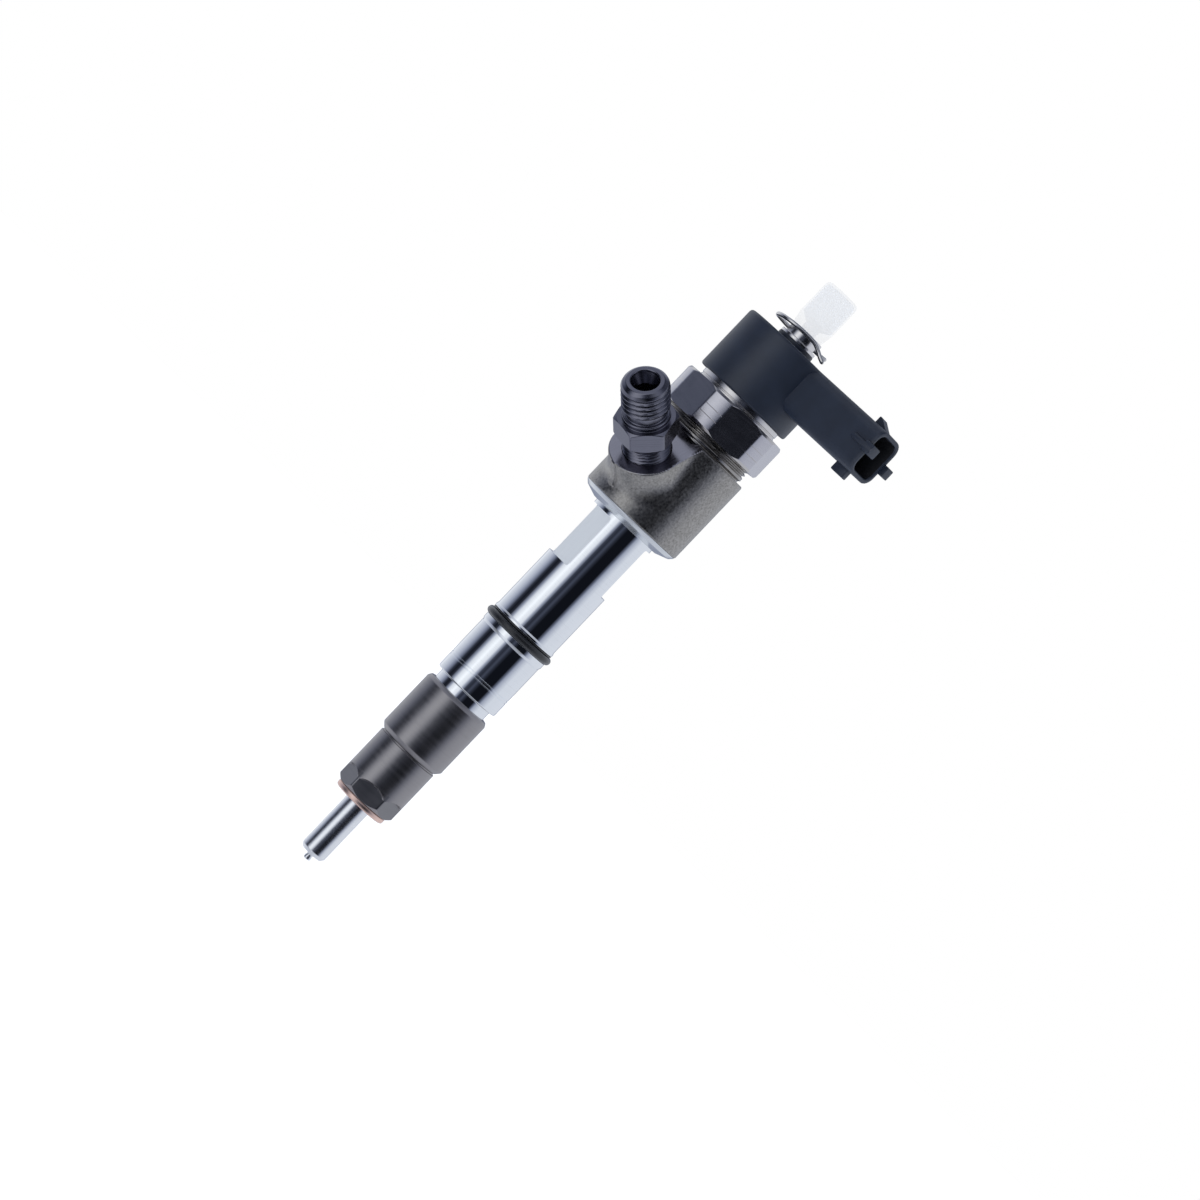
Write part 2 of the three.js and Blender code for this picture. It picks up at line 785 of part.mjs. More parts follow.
function injectorBody() {
  const boss = inletBoss().subtract(wellPlug()).subtract(pistonPlug());
  const socketRadius = inletThreadRadius + LOOSE;
  const socketZ = bossReach - inletSocketDepth;
  const socket = new THREE.CylinderGeometry(socketRadius, socketRadius, bossReach, SIDES);
  socket.rotateX(Math.PI / 2).translate(0, 0, socketZ + bossReach / 2);
  const inletDrill = new THREE.CylinderGeometry(
    inletDrillRadius, inletDrillRadius, socketZ, DRILL_SIDES);
  inletDrill.rotateX(Math.PI / 2).translate(0, 0, socketZ / 2 + wellRadius * 0.7);
  const pressureFoot = polar(pressureBoreOffset, 0, jointZ - 1);
  const pressureHead = polar(pressureBoreOffset, 0, wellFloorZ + 3);
  const cuts = [
    bossFaceCut(),
    inInletFrame(socket),
    inInletFrame(inletDrill),
    clampFlat(1),
    clampFlat(-1),
    drill(pressureFoot, pressureHead, pressureBoreRadius),
    ...dowelHoles(dowelLength / 2 + dowelHoleSpare),
  ];
  return cuts.reduce((shape, cut) => shape.subtract(cut), bodyTurning().add(boss));
}

addPart('injector_body', injectorBody(), forgedSteel);

const oRingZ = grooveZ + oRingSection + PRESS;
const oRingRadius = sealFloorRadius + PRESS + oRingSection;
addPart('body_o_ring', torus(oRingRadius, oRingSection, oRingZ), seal);
const backupZ = oRingZ + oRingSection + 2 * PRESS;
const backupRing = ringProfile(
  sealFloorRadius + PRESS, shankRadius + backupStand, backupZ, backupZ + backupThickness);
addPart('body_backup_ring', turned(backupRing), seal);

// ---------------------------------------------------------------- inlet fitting

const inletGroup = new THREE.Group();
inletGroup.rotation.y = inletAngle;
inletGroup.position.z = inletBaseZ;
group.add(inletGroup);

const fittingZ = bossReach - inletSocketDepth + LOOSE;
const inletHexZ = bossReach + inletStud;
const inletCollarZ = inletHexZ + inletHexHeight;
const inletNeckZ = inletCollarZ + inletCollarHeight;
const inletThreadZ = inletNeckZ + inletNeckHeight;
const inletTopZ = inletThreadZ + inletThreadHeight;
const filterBore = filterRadius + PRESS;
const filterZ = fittingZ + filterStand;

function inletFitting() {
  const hexCorner = inletHexApothem / Math.cos(Math.PI / 6);
  const filterFloorZ = filterZ - LOOSE;
  const coneZ = inletTopZ - (inletMouthRadius - filterBore) / seatSlope;
  const profile = [
    [inletDrillRadius, fittingZ],
    [inletThreadRadius - inletEdge, fittingZ],
    [inletThreadRadius, fittingZ + inletEdge],
    [inletThreadRadius, inletHexZ],
    [hexCorner - inletEdge, inletHexZ],
    [hexCorner, inletHexZ + inletEdge],
    [hexCorner, inletCollarZ - inletEdge],
    [hexCorner - inletEdge, inletCollarZ],
    [inletCollarRadius, inletCollarZ],
    [inletCollarRadius, inletNeckZ],
    [inletNeckRadius, inletNeckZ],
    [inletNeckRadius, inletThreadZ - 0.5],
    [inletThreadRadius, inletThreadZ],
    [inletThreadRadius, inletTopZ - inletRimDrop],
    [inletThreadRadius - inletEdge, inletTopZ - inletEdge],
    [inletThreadRadius - inletRimRound, inletTopZ],
    [inletMouthRadius, inletTopZ],
    [filterBore, coneZ],
    [filterBore, filterFloorZ],
    [inletDrillRadius, filterFloorZ],
    [inletDrillRadius, fittingZ],
  ];
  const around = ringProfile(inletThreadRadius, hexCorner + 1, inletHexZ - PRESS, inletCollarZ + PRESS);
  const keep = hexagon(inletHexApothem, inletHexZ - 1, inletCollarZ + 1, inletHexAzimuth);
  return turned(profile).subtract(turned(around).subtract(keep));
}

function edgeFilter() {
  const filterTopZ = filterZ + filterLength;
  const waist = filterRadius - 0.4;
  return turned([
    [0, filterZ],
    [waist, filterZ],
    [waist, filterTopZ - 2],
    [filterRadius, filterTopZ - 2],
    [filterRadius, filterTopZ],
    [filterRadius - filterWall, filterTopZ],
    [filterRadius - filterWall, filterZ + 2],
    [0, filterZ + 2],
  ], SMALL_SIDES);
}

addPart('inlet_fitting', inletFitting(), blackSteel, inletGroup);
addPart('edge_filter', edgeFilter(), springSteel, inletGroup);

// ---------------------------------------------------------------- valve stack

function valveBody() {
  const guideBore = pistonGuideRadius + RUNNING;
  const chamberZ = pistonTopZ + controlChamberHeight;
  return turned([
    [guideBore, noseZ],
    [noseRadius, noseZ],
    [noseRadius, valveSeatZ],
    [valveFlangeRadius, valveSeatZ],
    [valveFlangeRadius, valveTopZ],
    [ballSeatRadius, valveTopZ],
    [throttleRadius, valveTopZ - ballSeatDepth],
    [throttleRadius, chamberZ + 0.6],
    [guideBore, chamberZ],
    [guideBore, noseZ],
  ]);
}

const sealRing = ringProfile(
  pistonBoreRadius + THREAD, noseRadius, wellFloorZ, noseZ);
addPart('valve_body', valveBody(), groundSteel);
addPart('valve_seal_ring', turned(sealRing), seal);

const ballZ = valveTopZ + 0.2;
const ball = new THREE.SphereGeometry(ballRadius, 12, 8).rotateX(Math.PI / 2);
addPart('valve_ball', solid(ball.translate(0, 0, ballZ)), groundSteel);

addPart('ball_holder', turned([
  [0, ballZ + ballRadius + 0.08],
  [0.5, ballZ + ballRadius - 0.12],
  [0.76, ballHolderZ],
  [ballHolderRadius, ballHolderZ],
  [ballHolderRadius, ballHolderTopZ],
  [0, ballHolderTopZ],
], SMALL_SIDES), groundSteel);

const liftShim = ringProfile(
  valveFlangeRadius - 3, valveFlangeRadius - THREAD, valveTopZ, guideFlangeZ);
addPart('armature_lift_shim', turned(liftShim), springSteel);

const guideTopZ = guideFlangeTopZ + guideColumnHeight;
const pinBore = armaturePinRadius + RUNNING;
addPart('armature_guide', turned([
  [ballHolderRadius + LOOSE, guideFlangeZ],
  [valveFlangeRadius - THREAD, guideFlangeZ],
  [valveFlangeRadius - THREAD, guideFlangeTopZ],
  [guideColumnRadius, guideFlangeTopZ],
  [guideColumnRadius, guideTopZ],
  [pinBore, guideTopZ],
  [pinBore, ballHolderTopZ + 2 * THREAD],
  [ballHolderRadius + LOOSE, ballHolderTopZ + 2 * THREAD],
  [ballHolderRadius + LOOSE, guideFlangeZ],
]), groundSteel);

const clampNut = ringProfile(clampNutBore, valveFlangeRadius, guideFlangeTopZ, armatureFloorZ);
addPart('valve_clamp_nut', turned(clampNut), darkSteel);

// ---------------------------------------------------------------- armature

const circlipGrooveRadius = armaturePinRadius - circlipGroove;
const pinTopZ = valveSpringZ + 0.6;
addPart('armature_pin', turned([
  [0, ballHolderTopZ],
  [armaturePinRadius - 0.4, ballHolderTopZ],
  [armaturePinRadius, ballHolderTopZ + 0.4],
  [armaturePinRadius, plateTopZ],
  [circlipGrooveRadius, plateTopZ],
  [circlipGrooveRadius, valveSpringZ],
  [armaturePinRadius, valveSpringZ],
  [armaturePinRadius, pinTopZ],
  [0, pinTopZ],
]), groundSteel);

function armaturePlate() {
  let plate = turned(ringProfile(pinBore, plateRadius, plateZ, plateTopZ));
  for (let i = 0; i < plateSlotCount; i += 1) {
    const slot = new THREE.BoxGeometry(plateRadius, plateSlotWidth, 3 * plateThickness);
    slot.translate(plateRadius, 0, plateZ).rotateZ((Math.PI * (i + 0.5)) / 2);
    plate = plate.subtract(solid(slot));
  }
  return plate;
}

addPart('armature_plate', armaturePlate(), springSteel);

const circlipInner = circlipGrooveRadius + RUNNING;
const circlipRing = turned(ringProfile(circlipInner, circlipRadius, plateTopZ, valveSpringZ));
const circlipMouth = box(
  0, circlipRadius + 1, -circlipInner, circlipInner, plateTopZ - 1, valveSpringZ + 1);
addPart('armature_c_washer', circlipRing.subtract(circlipMouth), springSteel);

const armatureSpringRadius = guideColumnRadius + armatureWireRadius + LOOSE;
const armatureSpring = coilSpring(
  armatureSpringRadius, armatureWireRadius, guideFlangeTopZ, plateZ, armatureSpringTurns);
addPart('armature_spring', armatureSpring, springSteel);

// ---------------------------------------------------------------- solenoid

const legOffsets = [coilOuterRadius - legWidth / 2, legRadius];

function solenoidCore() {
  const grooveTop = coreZ + coilHeight;
  const profile = [
    [coreBore, coreZ],
    [coilInnerRadius, coreZ],
    [coilInnerRadius, grooveTop],
    [coilOuterRadius, grooveTop],
    [coilOuterRadius, coreZ],
    [coreRadius, coreZ],
    [coreRadius, coreTopZ],
    [returnHoleRadius, coreTopZ],
    [returnHoleRadius, coreBoreTopZ],
    [coreBore, coreBoreTopZ],
    [coreBore, coreZ],
  ];
  const side = bladeThickness / 2 + THREAD;
  const near = legOffsets[1] - legWidth / 2 - THREAD;
  const far = legOffsets[0] + legWidth / 2 + THREAD;
  return turned(profile).subtract(box(-side, side, near, far, grooveTop - 1, coreTopZ + 1));
}

const bobbinInner = coilInnerRadius + 2 * THREAD;
const bobbinOuter = coilOuterRadius - 2 * THREAD;
const bobbinZ = coreZ + 2 * THREAD;
const bobbinTopZ = coreZ + coilHeight - 2 * THREAD;
addPart('solenoid_core', solenoidCore(), darkSteel);
addPart('coil_bobbin', turned([
  [bobbinInner, bobbinZ],
  [bobbinOuter, bobbinZ],
  [bobbinOuter, bobbinZ + bobbinWall],
  [bobbinInner + bobbinWall, bobbinZ + bobbinWall],
  [bobbinInner + bobbinWall, bobbinTopZ - bobbinWall],
  [bobbinOuter, bobbinTopZ - bobbinWall],
  [bobbinOuter, bobbinTopZ],
  [bobbinInner, bobbinTopZ],
  [bobbinInner, bobbinZ],
]), plastic);
const coilRing = ringProfile(
  bobbinInner + bobbinWall + PRESS,
  bobbinOuter - THREAD,
  bobbinZ + bobbinWall + PRESS,
  bobbinTopZ - bobbinWall - PRESS);
addPart('solenoid_coil', turned(coilRing), coilWire);

const valveSpringRadius = (armaturePinRadius + coreBore) / 2 - 0.15;
const valveSpring = coilSpring(
  valveSpringRadius, valveWireRadius, valveSpringZ, valveShimZ, valveSpringTurns);
addPart('valve_spring', valveSpring, springSteel);
const valveShim = ringProfile(
  returnHoleRadius - 0.4, coreBore - THREAD, valveShimZ, coreBoreTopZ);
addPart('valve_spring_shim', turned(valveShim, SMALL_SIDES), springSteel);

const sealGrooveInner = sleeveBore + 0.6;
const sealGrooveOuter = sealGrooveInner + 2 * solenoidSealSection + 2 * THREAD;
const sealGrooveTopZ = bodyTopZ + 2 * solenoidSealSection + 2 * THREAD;
addPart('solenoid_sleeve', turned([
  [sleeveBore, bodyTopZ],
  [sealGrooveInner, bodyTopZ],
  [sealGrooveInner, sealGrooveTopZ],
  [sealGrooveOuter, sealGrooveTopZ],
  [sealGrooveOuter, bodyTopZ],
  [sleeveFlangeRadius, bodyTopZ],
  [sleeveFlangeRadius, sleeveFlangeTopZ],
  [sleeveRadius, sleeveFlangeTopZ],
  [sleeveRadius, sleeveTopZ],
  [sleeveBore - sleeveLipWidth, sleeveTopZ],
  [sleeveBore - sleeveLipWidth, coreTopZ + PRESS],
  [sleeveBore, coreTopZ + PRESS],
  [sleeveBore, bodyTopZ],
]), groundSteel);
const sealCentre = (sealGrooveInner + sealGrooveOuter) / 2;
const solenoidSeal = torus(
  sealCentre, solenoidSealSection, bodyTopZ + solenoidSealSection + THREAD, 8);
addPart('solenoid_o_ring', solenoidSeal, seal);

function solenoidNut() {
  const chamfer = solenoidNutRadius - threadRadius;
  const profile = [
    [threadRadius + THREAD, solenoidNutZ],
    [threadRadius + 2 * THREAD, solenoidNutZ],
    [solenoidNutRadius - 0.3, solenoidNutZ + chamfer / 2],
    [solenoidNutRadius, solenoidNutZ + chamfer],
    [solenoidNutRadius, solenoidNutTopZ - 0.6],
    [solenoidNutRadius - 1, solenoidNutTopZ],
    [sleeveRadius + THREAD, solenoidNutTopZ],
    [sleeveRadius + THREAD, sleeveFlangeTopZ],
    [threadRadius + THREAD, sleeveFlangeTopZ],
    [threadRadius + THREAD, solenoidNutZ],
  ];
  const low = solenoidNutZ - 1;
  const high = solenoidNutTopZ + 1;
  return turned(profile).intersect(hexagon(solenoidNutApothem, low, high, solenoidNutAzimuth));
}

addPart('solenoid_nut', solenoidNut(), darkSteel);

// ---------------------------------------------------------------- return port

const portBoreZ = portTopZ - portBoreDepth;
addPart('return_port', turned([
  [returnHoleRadius + LOOSE, coreTopZ],
  [portFlangeRadius, coreTopZ],
  [portFlangeRadius, coreTopZ + portFlangeHeight],
  [portStemRadius, coreTopZ + portFlangeHeight],
  [portStemRadius, portHeadZ],
  [portHeadRadius, portHeadZ],
  [portHeadRadius, portGrooveZ],
  [portGrooveRadius, portGrooveZ],
  [portGrooveRadius, portGrooveTopZ],
  [portHeadRadius - BREAK, portGrooveTopZ],
  [portHeadRadius - BREAK, portTopZ - BREAK],
  [portHeadRadius - 2 * BREAK, portTopZ],
  [portBore, portTopZ],
  [portBore, portBoreZ],
  [returnHoleRadius + LOOSE, portBoreZ],
  [returnHoleRadius + LOOSE, coreTopZ],
]), groundSteel);
const collar = ringProfile(portStemRadius + PRESS, portCollarRadius, capTopZ, portHeadZ);
addPart('port_collar', turned(collar), seal);

// ---------------------------------------------------------------- plastic cap and connector

const socketWidth = armWidth - 2 * armWall;
const socketHeight = armHeight - 2 * armWall;
const socketFloorY = armReach - socketDepth;
const bladeEndY = armReach - bladeSetback;
const bladeCentres = [armCentreZ - bladeSpacing / 2, armCentreZ + bladeSpacing / 2];

// The L of one terminal in the YZ plane, grown by a margin on every side
function terminalBox(i, margin, endY) {
  const side = bladeThickness / 2 + margin;
  const legNear = legOffsets[i] - legWidth / 2 - margin;
  const legFar = legOffsets[i] + legWidth / 2 + margin;
  const low = bladeCentres[i] - bladeWidth / 2 - margin;
  const high = bladeCentres[i] + bladeWidth / 2 + margin;
  const footZ = bobbinTopZ + THREAD;
  const leg = box(-side, side, legNear, legFar, footZ, high);
  return leg.add(box(-side, side, legNear, endY, low, high));
}

// The ramp on the connector's upper side, over which a plug's latch rides
function latchRamp() {
  const shape = new THREE.Shape();
  const frontY = armReach - lugSetback;
  const backY = frontY - lugLength + 1;
  shape.moveTo(backY, capTopZ - armWall);
  shape.lineTo(frontY, capTopZ - armWall);
  shape.lineTo(frontY, capTopZ);
  shape.lineTo(backY + 0.6, capTopZ + rampHeight);
  shape.lineTo(backY, capTopZ + rampHeight);
  shape.closePath();
  const options = { depth: lugWidth, bevelEnabled: false };
  const geometry = new THREE.ExtrudeGeometry(shape, options).translate(0, 0, -lugWidth / 2);
  return solid(geometry.applyMatrix4(new THREE.Matrix4().set(
    0, 0, 1, 0,
    1, 0, 0, 0,
    0, 1, 0, 0,
    0, 0, 0, 1)));
}

function connectorLugs() {
  const halfWidth = armWidth / 2;
  const lowZ = capTopZ - armHeight;
  const keyZ = armCentreZ + keyOffset;
  const half = lugWidth / 2;
  const ridge = keyRidgeWidth / 2;
  const frontY = armReach - lugSetback;
  const innerX = halfWidth - armWall - keyTongueReach;
  const ridgeX = halfWidth + keyRidgeHeight;
  return [
    box(-half, half, frontY - lugLength, frontY, lowZ - lugReach, lowZ + armWall / 2),
    latchRamp(),
    box(halfWidth - armWall / 2, ridgeX, armReach - keyRidgeLength, armReach + keyOverhang,
      keyZ - ridge, keyZ + ridge),
    box(innerX, ridgeX, armReach - keyOverhang, armReach + keyOverhang, keyZ - half, keyZ + half),
    box(-halfWidth - lugReach, -halfWidth + armWall / 2, armReach - lugLength + keyOverhang,
      armReach + keyOverhang, armCentreZ - farLugDrop - half, armCentreZ - farLugDrop + half),
  ];
}

function solenoidCap() {
  const drum = turned([
    [0, capZ],
    [capRadius - capEdge, capZ],
    [capRadius - 0.3 * capEdge, capZ + 0.3 * capEdge],
    [capRadius, capZ + capEdge],
    [capRadius, capTopZ - capEdge],
    [capRadius - 0.3 * capEdge, capTopZ - 0.3 * capEdge],
    [capRadius - capEdge, capTopZ],
    [0, capTopZ],
  ]);
  const arm = roundedBar(armWidth, armHeight, armCorner, 0, armReach, armCentreZ);
  const pocketZ = sleeveTopZ + 2 * THREAD;
  const flangeTopZ = coreTopZ + portFlangeHeight + THREAD;
  const pocket = turned([
    [0, capZ - 1],
    [sleeveRadius + THREAD, capZ - 1],
    [sleeveRadius + THREAD, pocketZ],
    [portFlangeRadius + THREAD, pocketZ],
    [portFlangeRadius + THREAD, flangeTopZ],
    [portStemRadius + PRESS, flangeTopZ],
    [portStemRadius + PRESS, capTopZ + 1],
    [0, capTopZ + 1],
  ]);
  const socketEnd = armReach + 1;
  const socket = roundedBar(
    socketWidth, socketHeight, socketCorner, socketFloorY, socketEnd, armCentreZ);
  const shell = drum.add(arm).subtract(socket);
  const withLugs = connectorLugs().reduce((shape, lug) => shape.add(lug), shell);
  const slots = [0, 1].map((i) => terminalBox(i, THREAD, socketFloorY + 1));
  return slots.reduce((shape, slot) => shape.subtract(slot), withLugs.subtract(pocket));
}

addPart('solenoid_cap', solenoidCap(), plastic);
['terminal_lower', 'terminal_upper'].forEach((name, i) => {
  addPart(name, terminalBox(i, 0, bladeEndY), tinned);
});

// ---------------------------------------------------------------- clip and protective cap

// A U of spring wire whose legs lie in the port's groove, with flared ends
function retainingClip() {
  const legY = clipLegOffset;
  const bendX = clipReach - legY;
  const points = [
    [-clipTail, legY + clipFlare],
    [-clipTail + 1.2, legY + 0.35 * clipFlare],
    [-clipTail + 2.6, legY],
    [-clipTail / 3, legY],
    [0, legY],
    [bendX, legY],
  ];
  for (let i = 1; i <= 3; i += 1) {
    const angle = (Math.PI * i) / 8;
    points.push([bendX + legY * Math.sin(angle), legY * Math.cos(angle)]);
  }
  const mirrored = points.map(([x, y]) => [x, -y]).reverse();
  const path = new THREE.CatmullRomCurve3(
    [...points, [clipReach, 0], ...mirrored].map(([x, y]) => new THREE.Vector3(x, y, 0)));
  const options = { steps: 40, extrudePath: path, bevelEnabled: false };
  const geometry = new THREE.ExtrudeGeometry(wireShape(clipWireRadius, 8), options);
  geometry.rotateZ(THREE.MathUtils.degToRad(clipAzimuth));
  return solid(geometry.translate(0, 0, (portGrooveZ + portGrooveTopZ) / 2));
}

function protectiveCap() {
  const plugRadius = portBore - THREAD;
  const plugZ = portTopZ - plugDepth;
  const restZ = portTopZ + PRESS;
  const shoulderZ = restZ + hoodNeckHeight;
  const topZ = restZ + hoodHeight;
  return turned([
    [plugRadius - plugWall, plugZ],
    [plugRadius, plugZ],
    [plugRadius, restZ],
    [hoodNeckRadius, restZ],
    [hoodRadius, shoulderZ],
    [hoodRadius, topZ - hoodEdge],
    [hoodRadius - 0.3 * hoodEdge, topZ - 0.3 * hoodEdge],
    [hoodRadius - hoodEdge, topZ],
    [0, topZ],
    [0, topZ - plugWall],
    [hoodRadius - plugWall, topZ - plugWall - hoodEdge],
    [hoodRadius - plugWall, shoulderZ + 1.2],
    [plugRadius - plugWall, shoulderZ],
    [plugRadius - plugWall, plugZ],
  ], SIDES);
}

addPart('retaining_clip', retainingClip(), springSteel);
addPart('protective_cap', protectiveCap(), clearPlastic);

export default group;
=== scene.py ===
import math

import bmesh
import bpy
import numpy as np
from mathutils import Matrix, Vector


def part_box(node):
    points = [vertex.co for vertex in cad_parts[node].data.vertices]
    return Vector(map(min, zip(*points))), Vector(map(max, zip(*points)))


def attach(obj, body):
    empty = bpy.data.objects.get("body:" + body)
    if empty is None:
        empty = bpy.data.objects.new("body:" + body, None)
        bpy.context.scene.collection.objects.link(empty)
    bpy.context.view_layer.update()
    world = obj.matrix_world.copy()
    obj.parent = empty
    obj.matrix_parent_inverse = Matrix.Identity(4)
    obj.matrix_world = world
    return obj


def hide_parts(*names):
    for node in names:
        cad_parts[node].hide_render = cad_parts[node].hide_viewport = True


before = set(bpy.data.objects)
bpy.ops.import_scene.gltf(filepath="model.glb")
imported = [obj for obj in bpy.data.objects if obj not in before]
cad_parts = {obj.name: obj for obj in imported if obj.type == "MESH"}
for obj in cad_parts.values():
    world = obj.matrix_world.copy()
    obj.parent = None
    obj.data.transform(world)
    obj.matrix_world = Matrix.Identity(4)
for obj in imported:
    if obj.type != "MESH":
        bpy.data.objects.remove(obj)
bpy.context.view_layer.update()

scene = bpy.context.scene
MM = 0.001
FULL_TURN = 2 * math.pi

# ---------------------------------------------------------------- stations, in millimetres


def low(node):
    """The low corner of a CAD node's box."""
    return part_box(node)[0] / MM


def high(node):
    """The high corner of a CAD node's box."""
    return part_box(node)[1] / MM


NUT_TOP = high("nozzle_nut").z
NUT_RADIUS = high("nozzle_nut").x
NOSE = low("nozzle_body").z
WASHER_TOP = high("sealing_washer").z
WASHER_RADIUS = high("sealing_washer").x
JOINT = low("injector_body").z
RING_LOW = low("body_o_ring").z
RING_HIGH = high("body_o_ring").z
BACKUP_LOW = low("body_backup_ring").z
BACKUP_HIGH = high("body_backup_ring").z
BODY_TOP = high("injector_body").z
HEX_LOW = low("solenoid_nut").z
HEX_TOP = high("solenoid_nut").z
SLEEVE_TOP = high("solenoid_sleeve").z
CAP_LOW = low("solenoid_cap").z
CAP_TOP = high("port_collar").z - 1.2
PORT_LOW = low("return_port").z
PORT_TOP = high("return_port").z
HOOD_LOW = low("protective_cap").z
HOOD_TOP = high("protective_cap").z

# The shank's radius, then where its land, its seal groove, its clamp flats and the head begin and end
SHANK = 9.2
LAND = RING_LOW - 17.65
GROOVE = RING_LOW - 0.05
GROOVE_TOP = BACKUP_HIGH + 0.1
CLAMP = GROOVE_TOP + 18.9
COLLAR = CLAMP + 15.7
HEAD = COLLAR + 1
SHOULDER_TOP = HEAD + 2.3
HEAD_TOP = BODY_TOP - 7.6
HEAD_RADIUS = 14.55
THREAD_RADIUS = 13.1
INLET_BASE = HEAD_TOP - 17.8
INLET_FACE = 18
# Which way the clamp flats, the two hexagons and the clip's mouth are turned about the axis
CLAMP_AZIMUTH = math.radians(-34.8)
HEX_AZIMUTH = math.radians(-9)
NUT_AZIMUTH = math.radians(34.4)
CLIP_AZIMUTH = math.radians(-55.6)
CLAMP_APOTHEM = 6.0
# The inlet leans from the axis at INLET_BASE, and its milled face is INLET_FACE out along it
INLET_FRAME = Matrix.Translation((0, 0, INLET_BASE)) @ Matrix.Rotation(math.radians(60), 4, "Y")
INLET_AXIS = INLET_FRAME.to_3x3() @ Vector((0, 0, 1))

# ---------------------------------------------------------------- mesh helpers


def make_piece(name, verts, faces, sharp=32, placed=None):
    """A mesh object from points in millimetres, moved by the matrix placed where there is one."""
    points = np.asarray(verts, float)
    if placed is not None:
        matrix = np.array(placed)
        points = points @ matrix[:3, :3].T + matrix[:3, 3]
    mesh = bpy.data.meshes.new(name)
    mesh.from_pydata((points * MM).tolist(), [], faces)
    piece = bpy.data.objects.new(name, mesh)
    scene.collection.objects.link(piece)
    tidy_mesh(piece, sharp)
    return piece


def tidy_mesh(piece, sharp=32):
    """Merges doubled points, turns the normals outward and keeps edges over sharp degrees."""
    bm = bmesh.new()
    bm.from_mesh(piece.data)
    bmesh.ops.remove_doubles(bm, verts=bm.verts, dist=1e-7)
    bmesh.ops.dissolve_degenerate(bm, edges=bm.edges, dist=1e-8)
    bmesh.ops.recalc_face_normals(bm, faces=bm.faces)
    bm.to_mesh(piece.data)
    bm.free()
    piece.data.shade_smooth()
    piece.data.set_sharp_from_angle(angle=math.radians(sharp))


def rounded(points, closed=True, steps=4):
    """A section from (radius, height[, corner]) points, with each corner rounded."""
    flat = [Vector((p[0], p[1])) for p in points]
    out = []
    count = len(flat)
    for i, p in enumerate(points):
        here = flat[i]
        corner = p[2] if len(p) > 2 else 0
        if corner <= 0 or (not closed and i in (0, count - 1)):
            out.append((here.x, here.y))
            continue
        back = flat[i - 1] - here
        ahead = flat[(i + 1) % count] - here
        turn = back.angle(ahead)
        reach = min(corner / math.tan(turn / 2), 0.48 * back.length, 0.48 * ahead.length)
        start = here + back.normalized() * reach
        end = here + ahead.normalized() * reach
        for k in range(steps + 1):
            t = k / steps
            spot = start * (1 - t) ** 2 + here * (2 * t * (1 - t)) + end * t * t
            out.append((spot.x, spot.y))
    return out


def dense(section, start, end, step):
    """The section with extra rows on its steep outer runs between two heights."""
    out = []
    for (r0, z0), (r1, z1) in zip(section, section[1:] + section[:1]):
        out.append((r0, z0))
        inside = start <= min(z0, z1) + 1e-6 and max(z0, z1) - 1e-6 <= end
        length = math.hypot(r1 - r0, z1 - z0)
        if inside and length > step:
            pieces = int(math.ceil(length / step))
            for k in range(1, pieces):
                t = k / pieces
                out.append((r0 + (r1 - r0) * t, z0 + (z1 - z0) * t))
    return out


def revolve(name, section, sides=144, shape=None, closed=True, placed=None, sharp=32):
    """A turned piece about Z. shape(theta, z, r) may change the radius of each row."""
    theta = np.linspace(0, FULL_TURN, sides, endpoint=False)
    verts, rows = [], []
    for r, z in section:
        if r < 1e-6:
            rows.append([len(verts)])
            verts.append((0, 0, z))
            continue
        radius = np.full(sides, float(r)) if shape is None else shape(theta, z, r)
        rows.append(list(range(len(verts), len(verts) + sides)))
        verts.extend(zip(radius * np.cos(theta), radius * np.sin(theta), np.full(sides, z)))
    faces = []
    pairs = list(zip(rows, rows[1:]))
    if closed:
        pairs.append((rows[-1], rows[0]))
    for a, b in pairs:
        if len(a) == 1 and len(b) == 1:
            continue
        for i in range(sides):
            j = (i + 1) % sides
            if len(a) == 1:
                faces.append((a[0], b[j], b[i]))
            elif len(b) == 1:
                faces.append((a[i], a[j], b[0]))
            else:
                faces.append((a[i], a[j], b[j], b[i]))
    return make_piece(name, verts, faces, sharp, placed)


def loft(name, loops, sharp=32):
    """A skin over loops of equal length, with its two ends filled."""
    count = len(loops[0])
    verts = [p for loop in loops for p in loop]
    faces = []
    for k in range(len(loops) - 1):
        a = k * count
        b = a + count
        for i in range(count):
            j = (i + 1) % count
            faces.append((a + i, a + j, b + j, b + i))
    faces.append(tuple(range(count)))
    faces.append(tuple(range(len(verts) - count, len(verts))))
    return make_piece(name, verts, faces, sharp)


def bevelled_block(name, x, y, z, edge=0.25):
    """A moulded block between pairs of bounds, with softened edges."""
    bm = bmesh.new()
    bmesh.ops.create_cube(bm, size=1)
    for v in bm.verts:
        v.co = Vector((
            x[0] if v.co.x < 0 else x[1],
            y[0] if v.co.y < 0 else y[1],
            z[0] if v.co.z < 0 else z[1]))
    bmesh.ops.bevel(bm, geom=bm.edges[:], offset=edge, segments=3, profile=0.5, affect="EDGES")
    verts = [v.co[:] for v in bm.verts]
    faces = [[v.index for v in f.verts] for f in bm.faces]
    bm.free()
    return make_piece(name, verts, faces, 40)


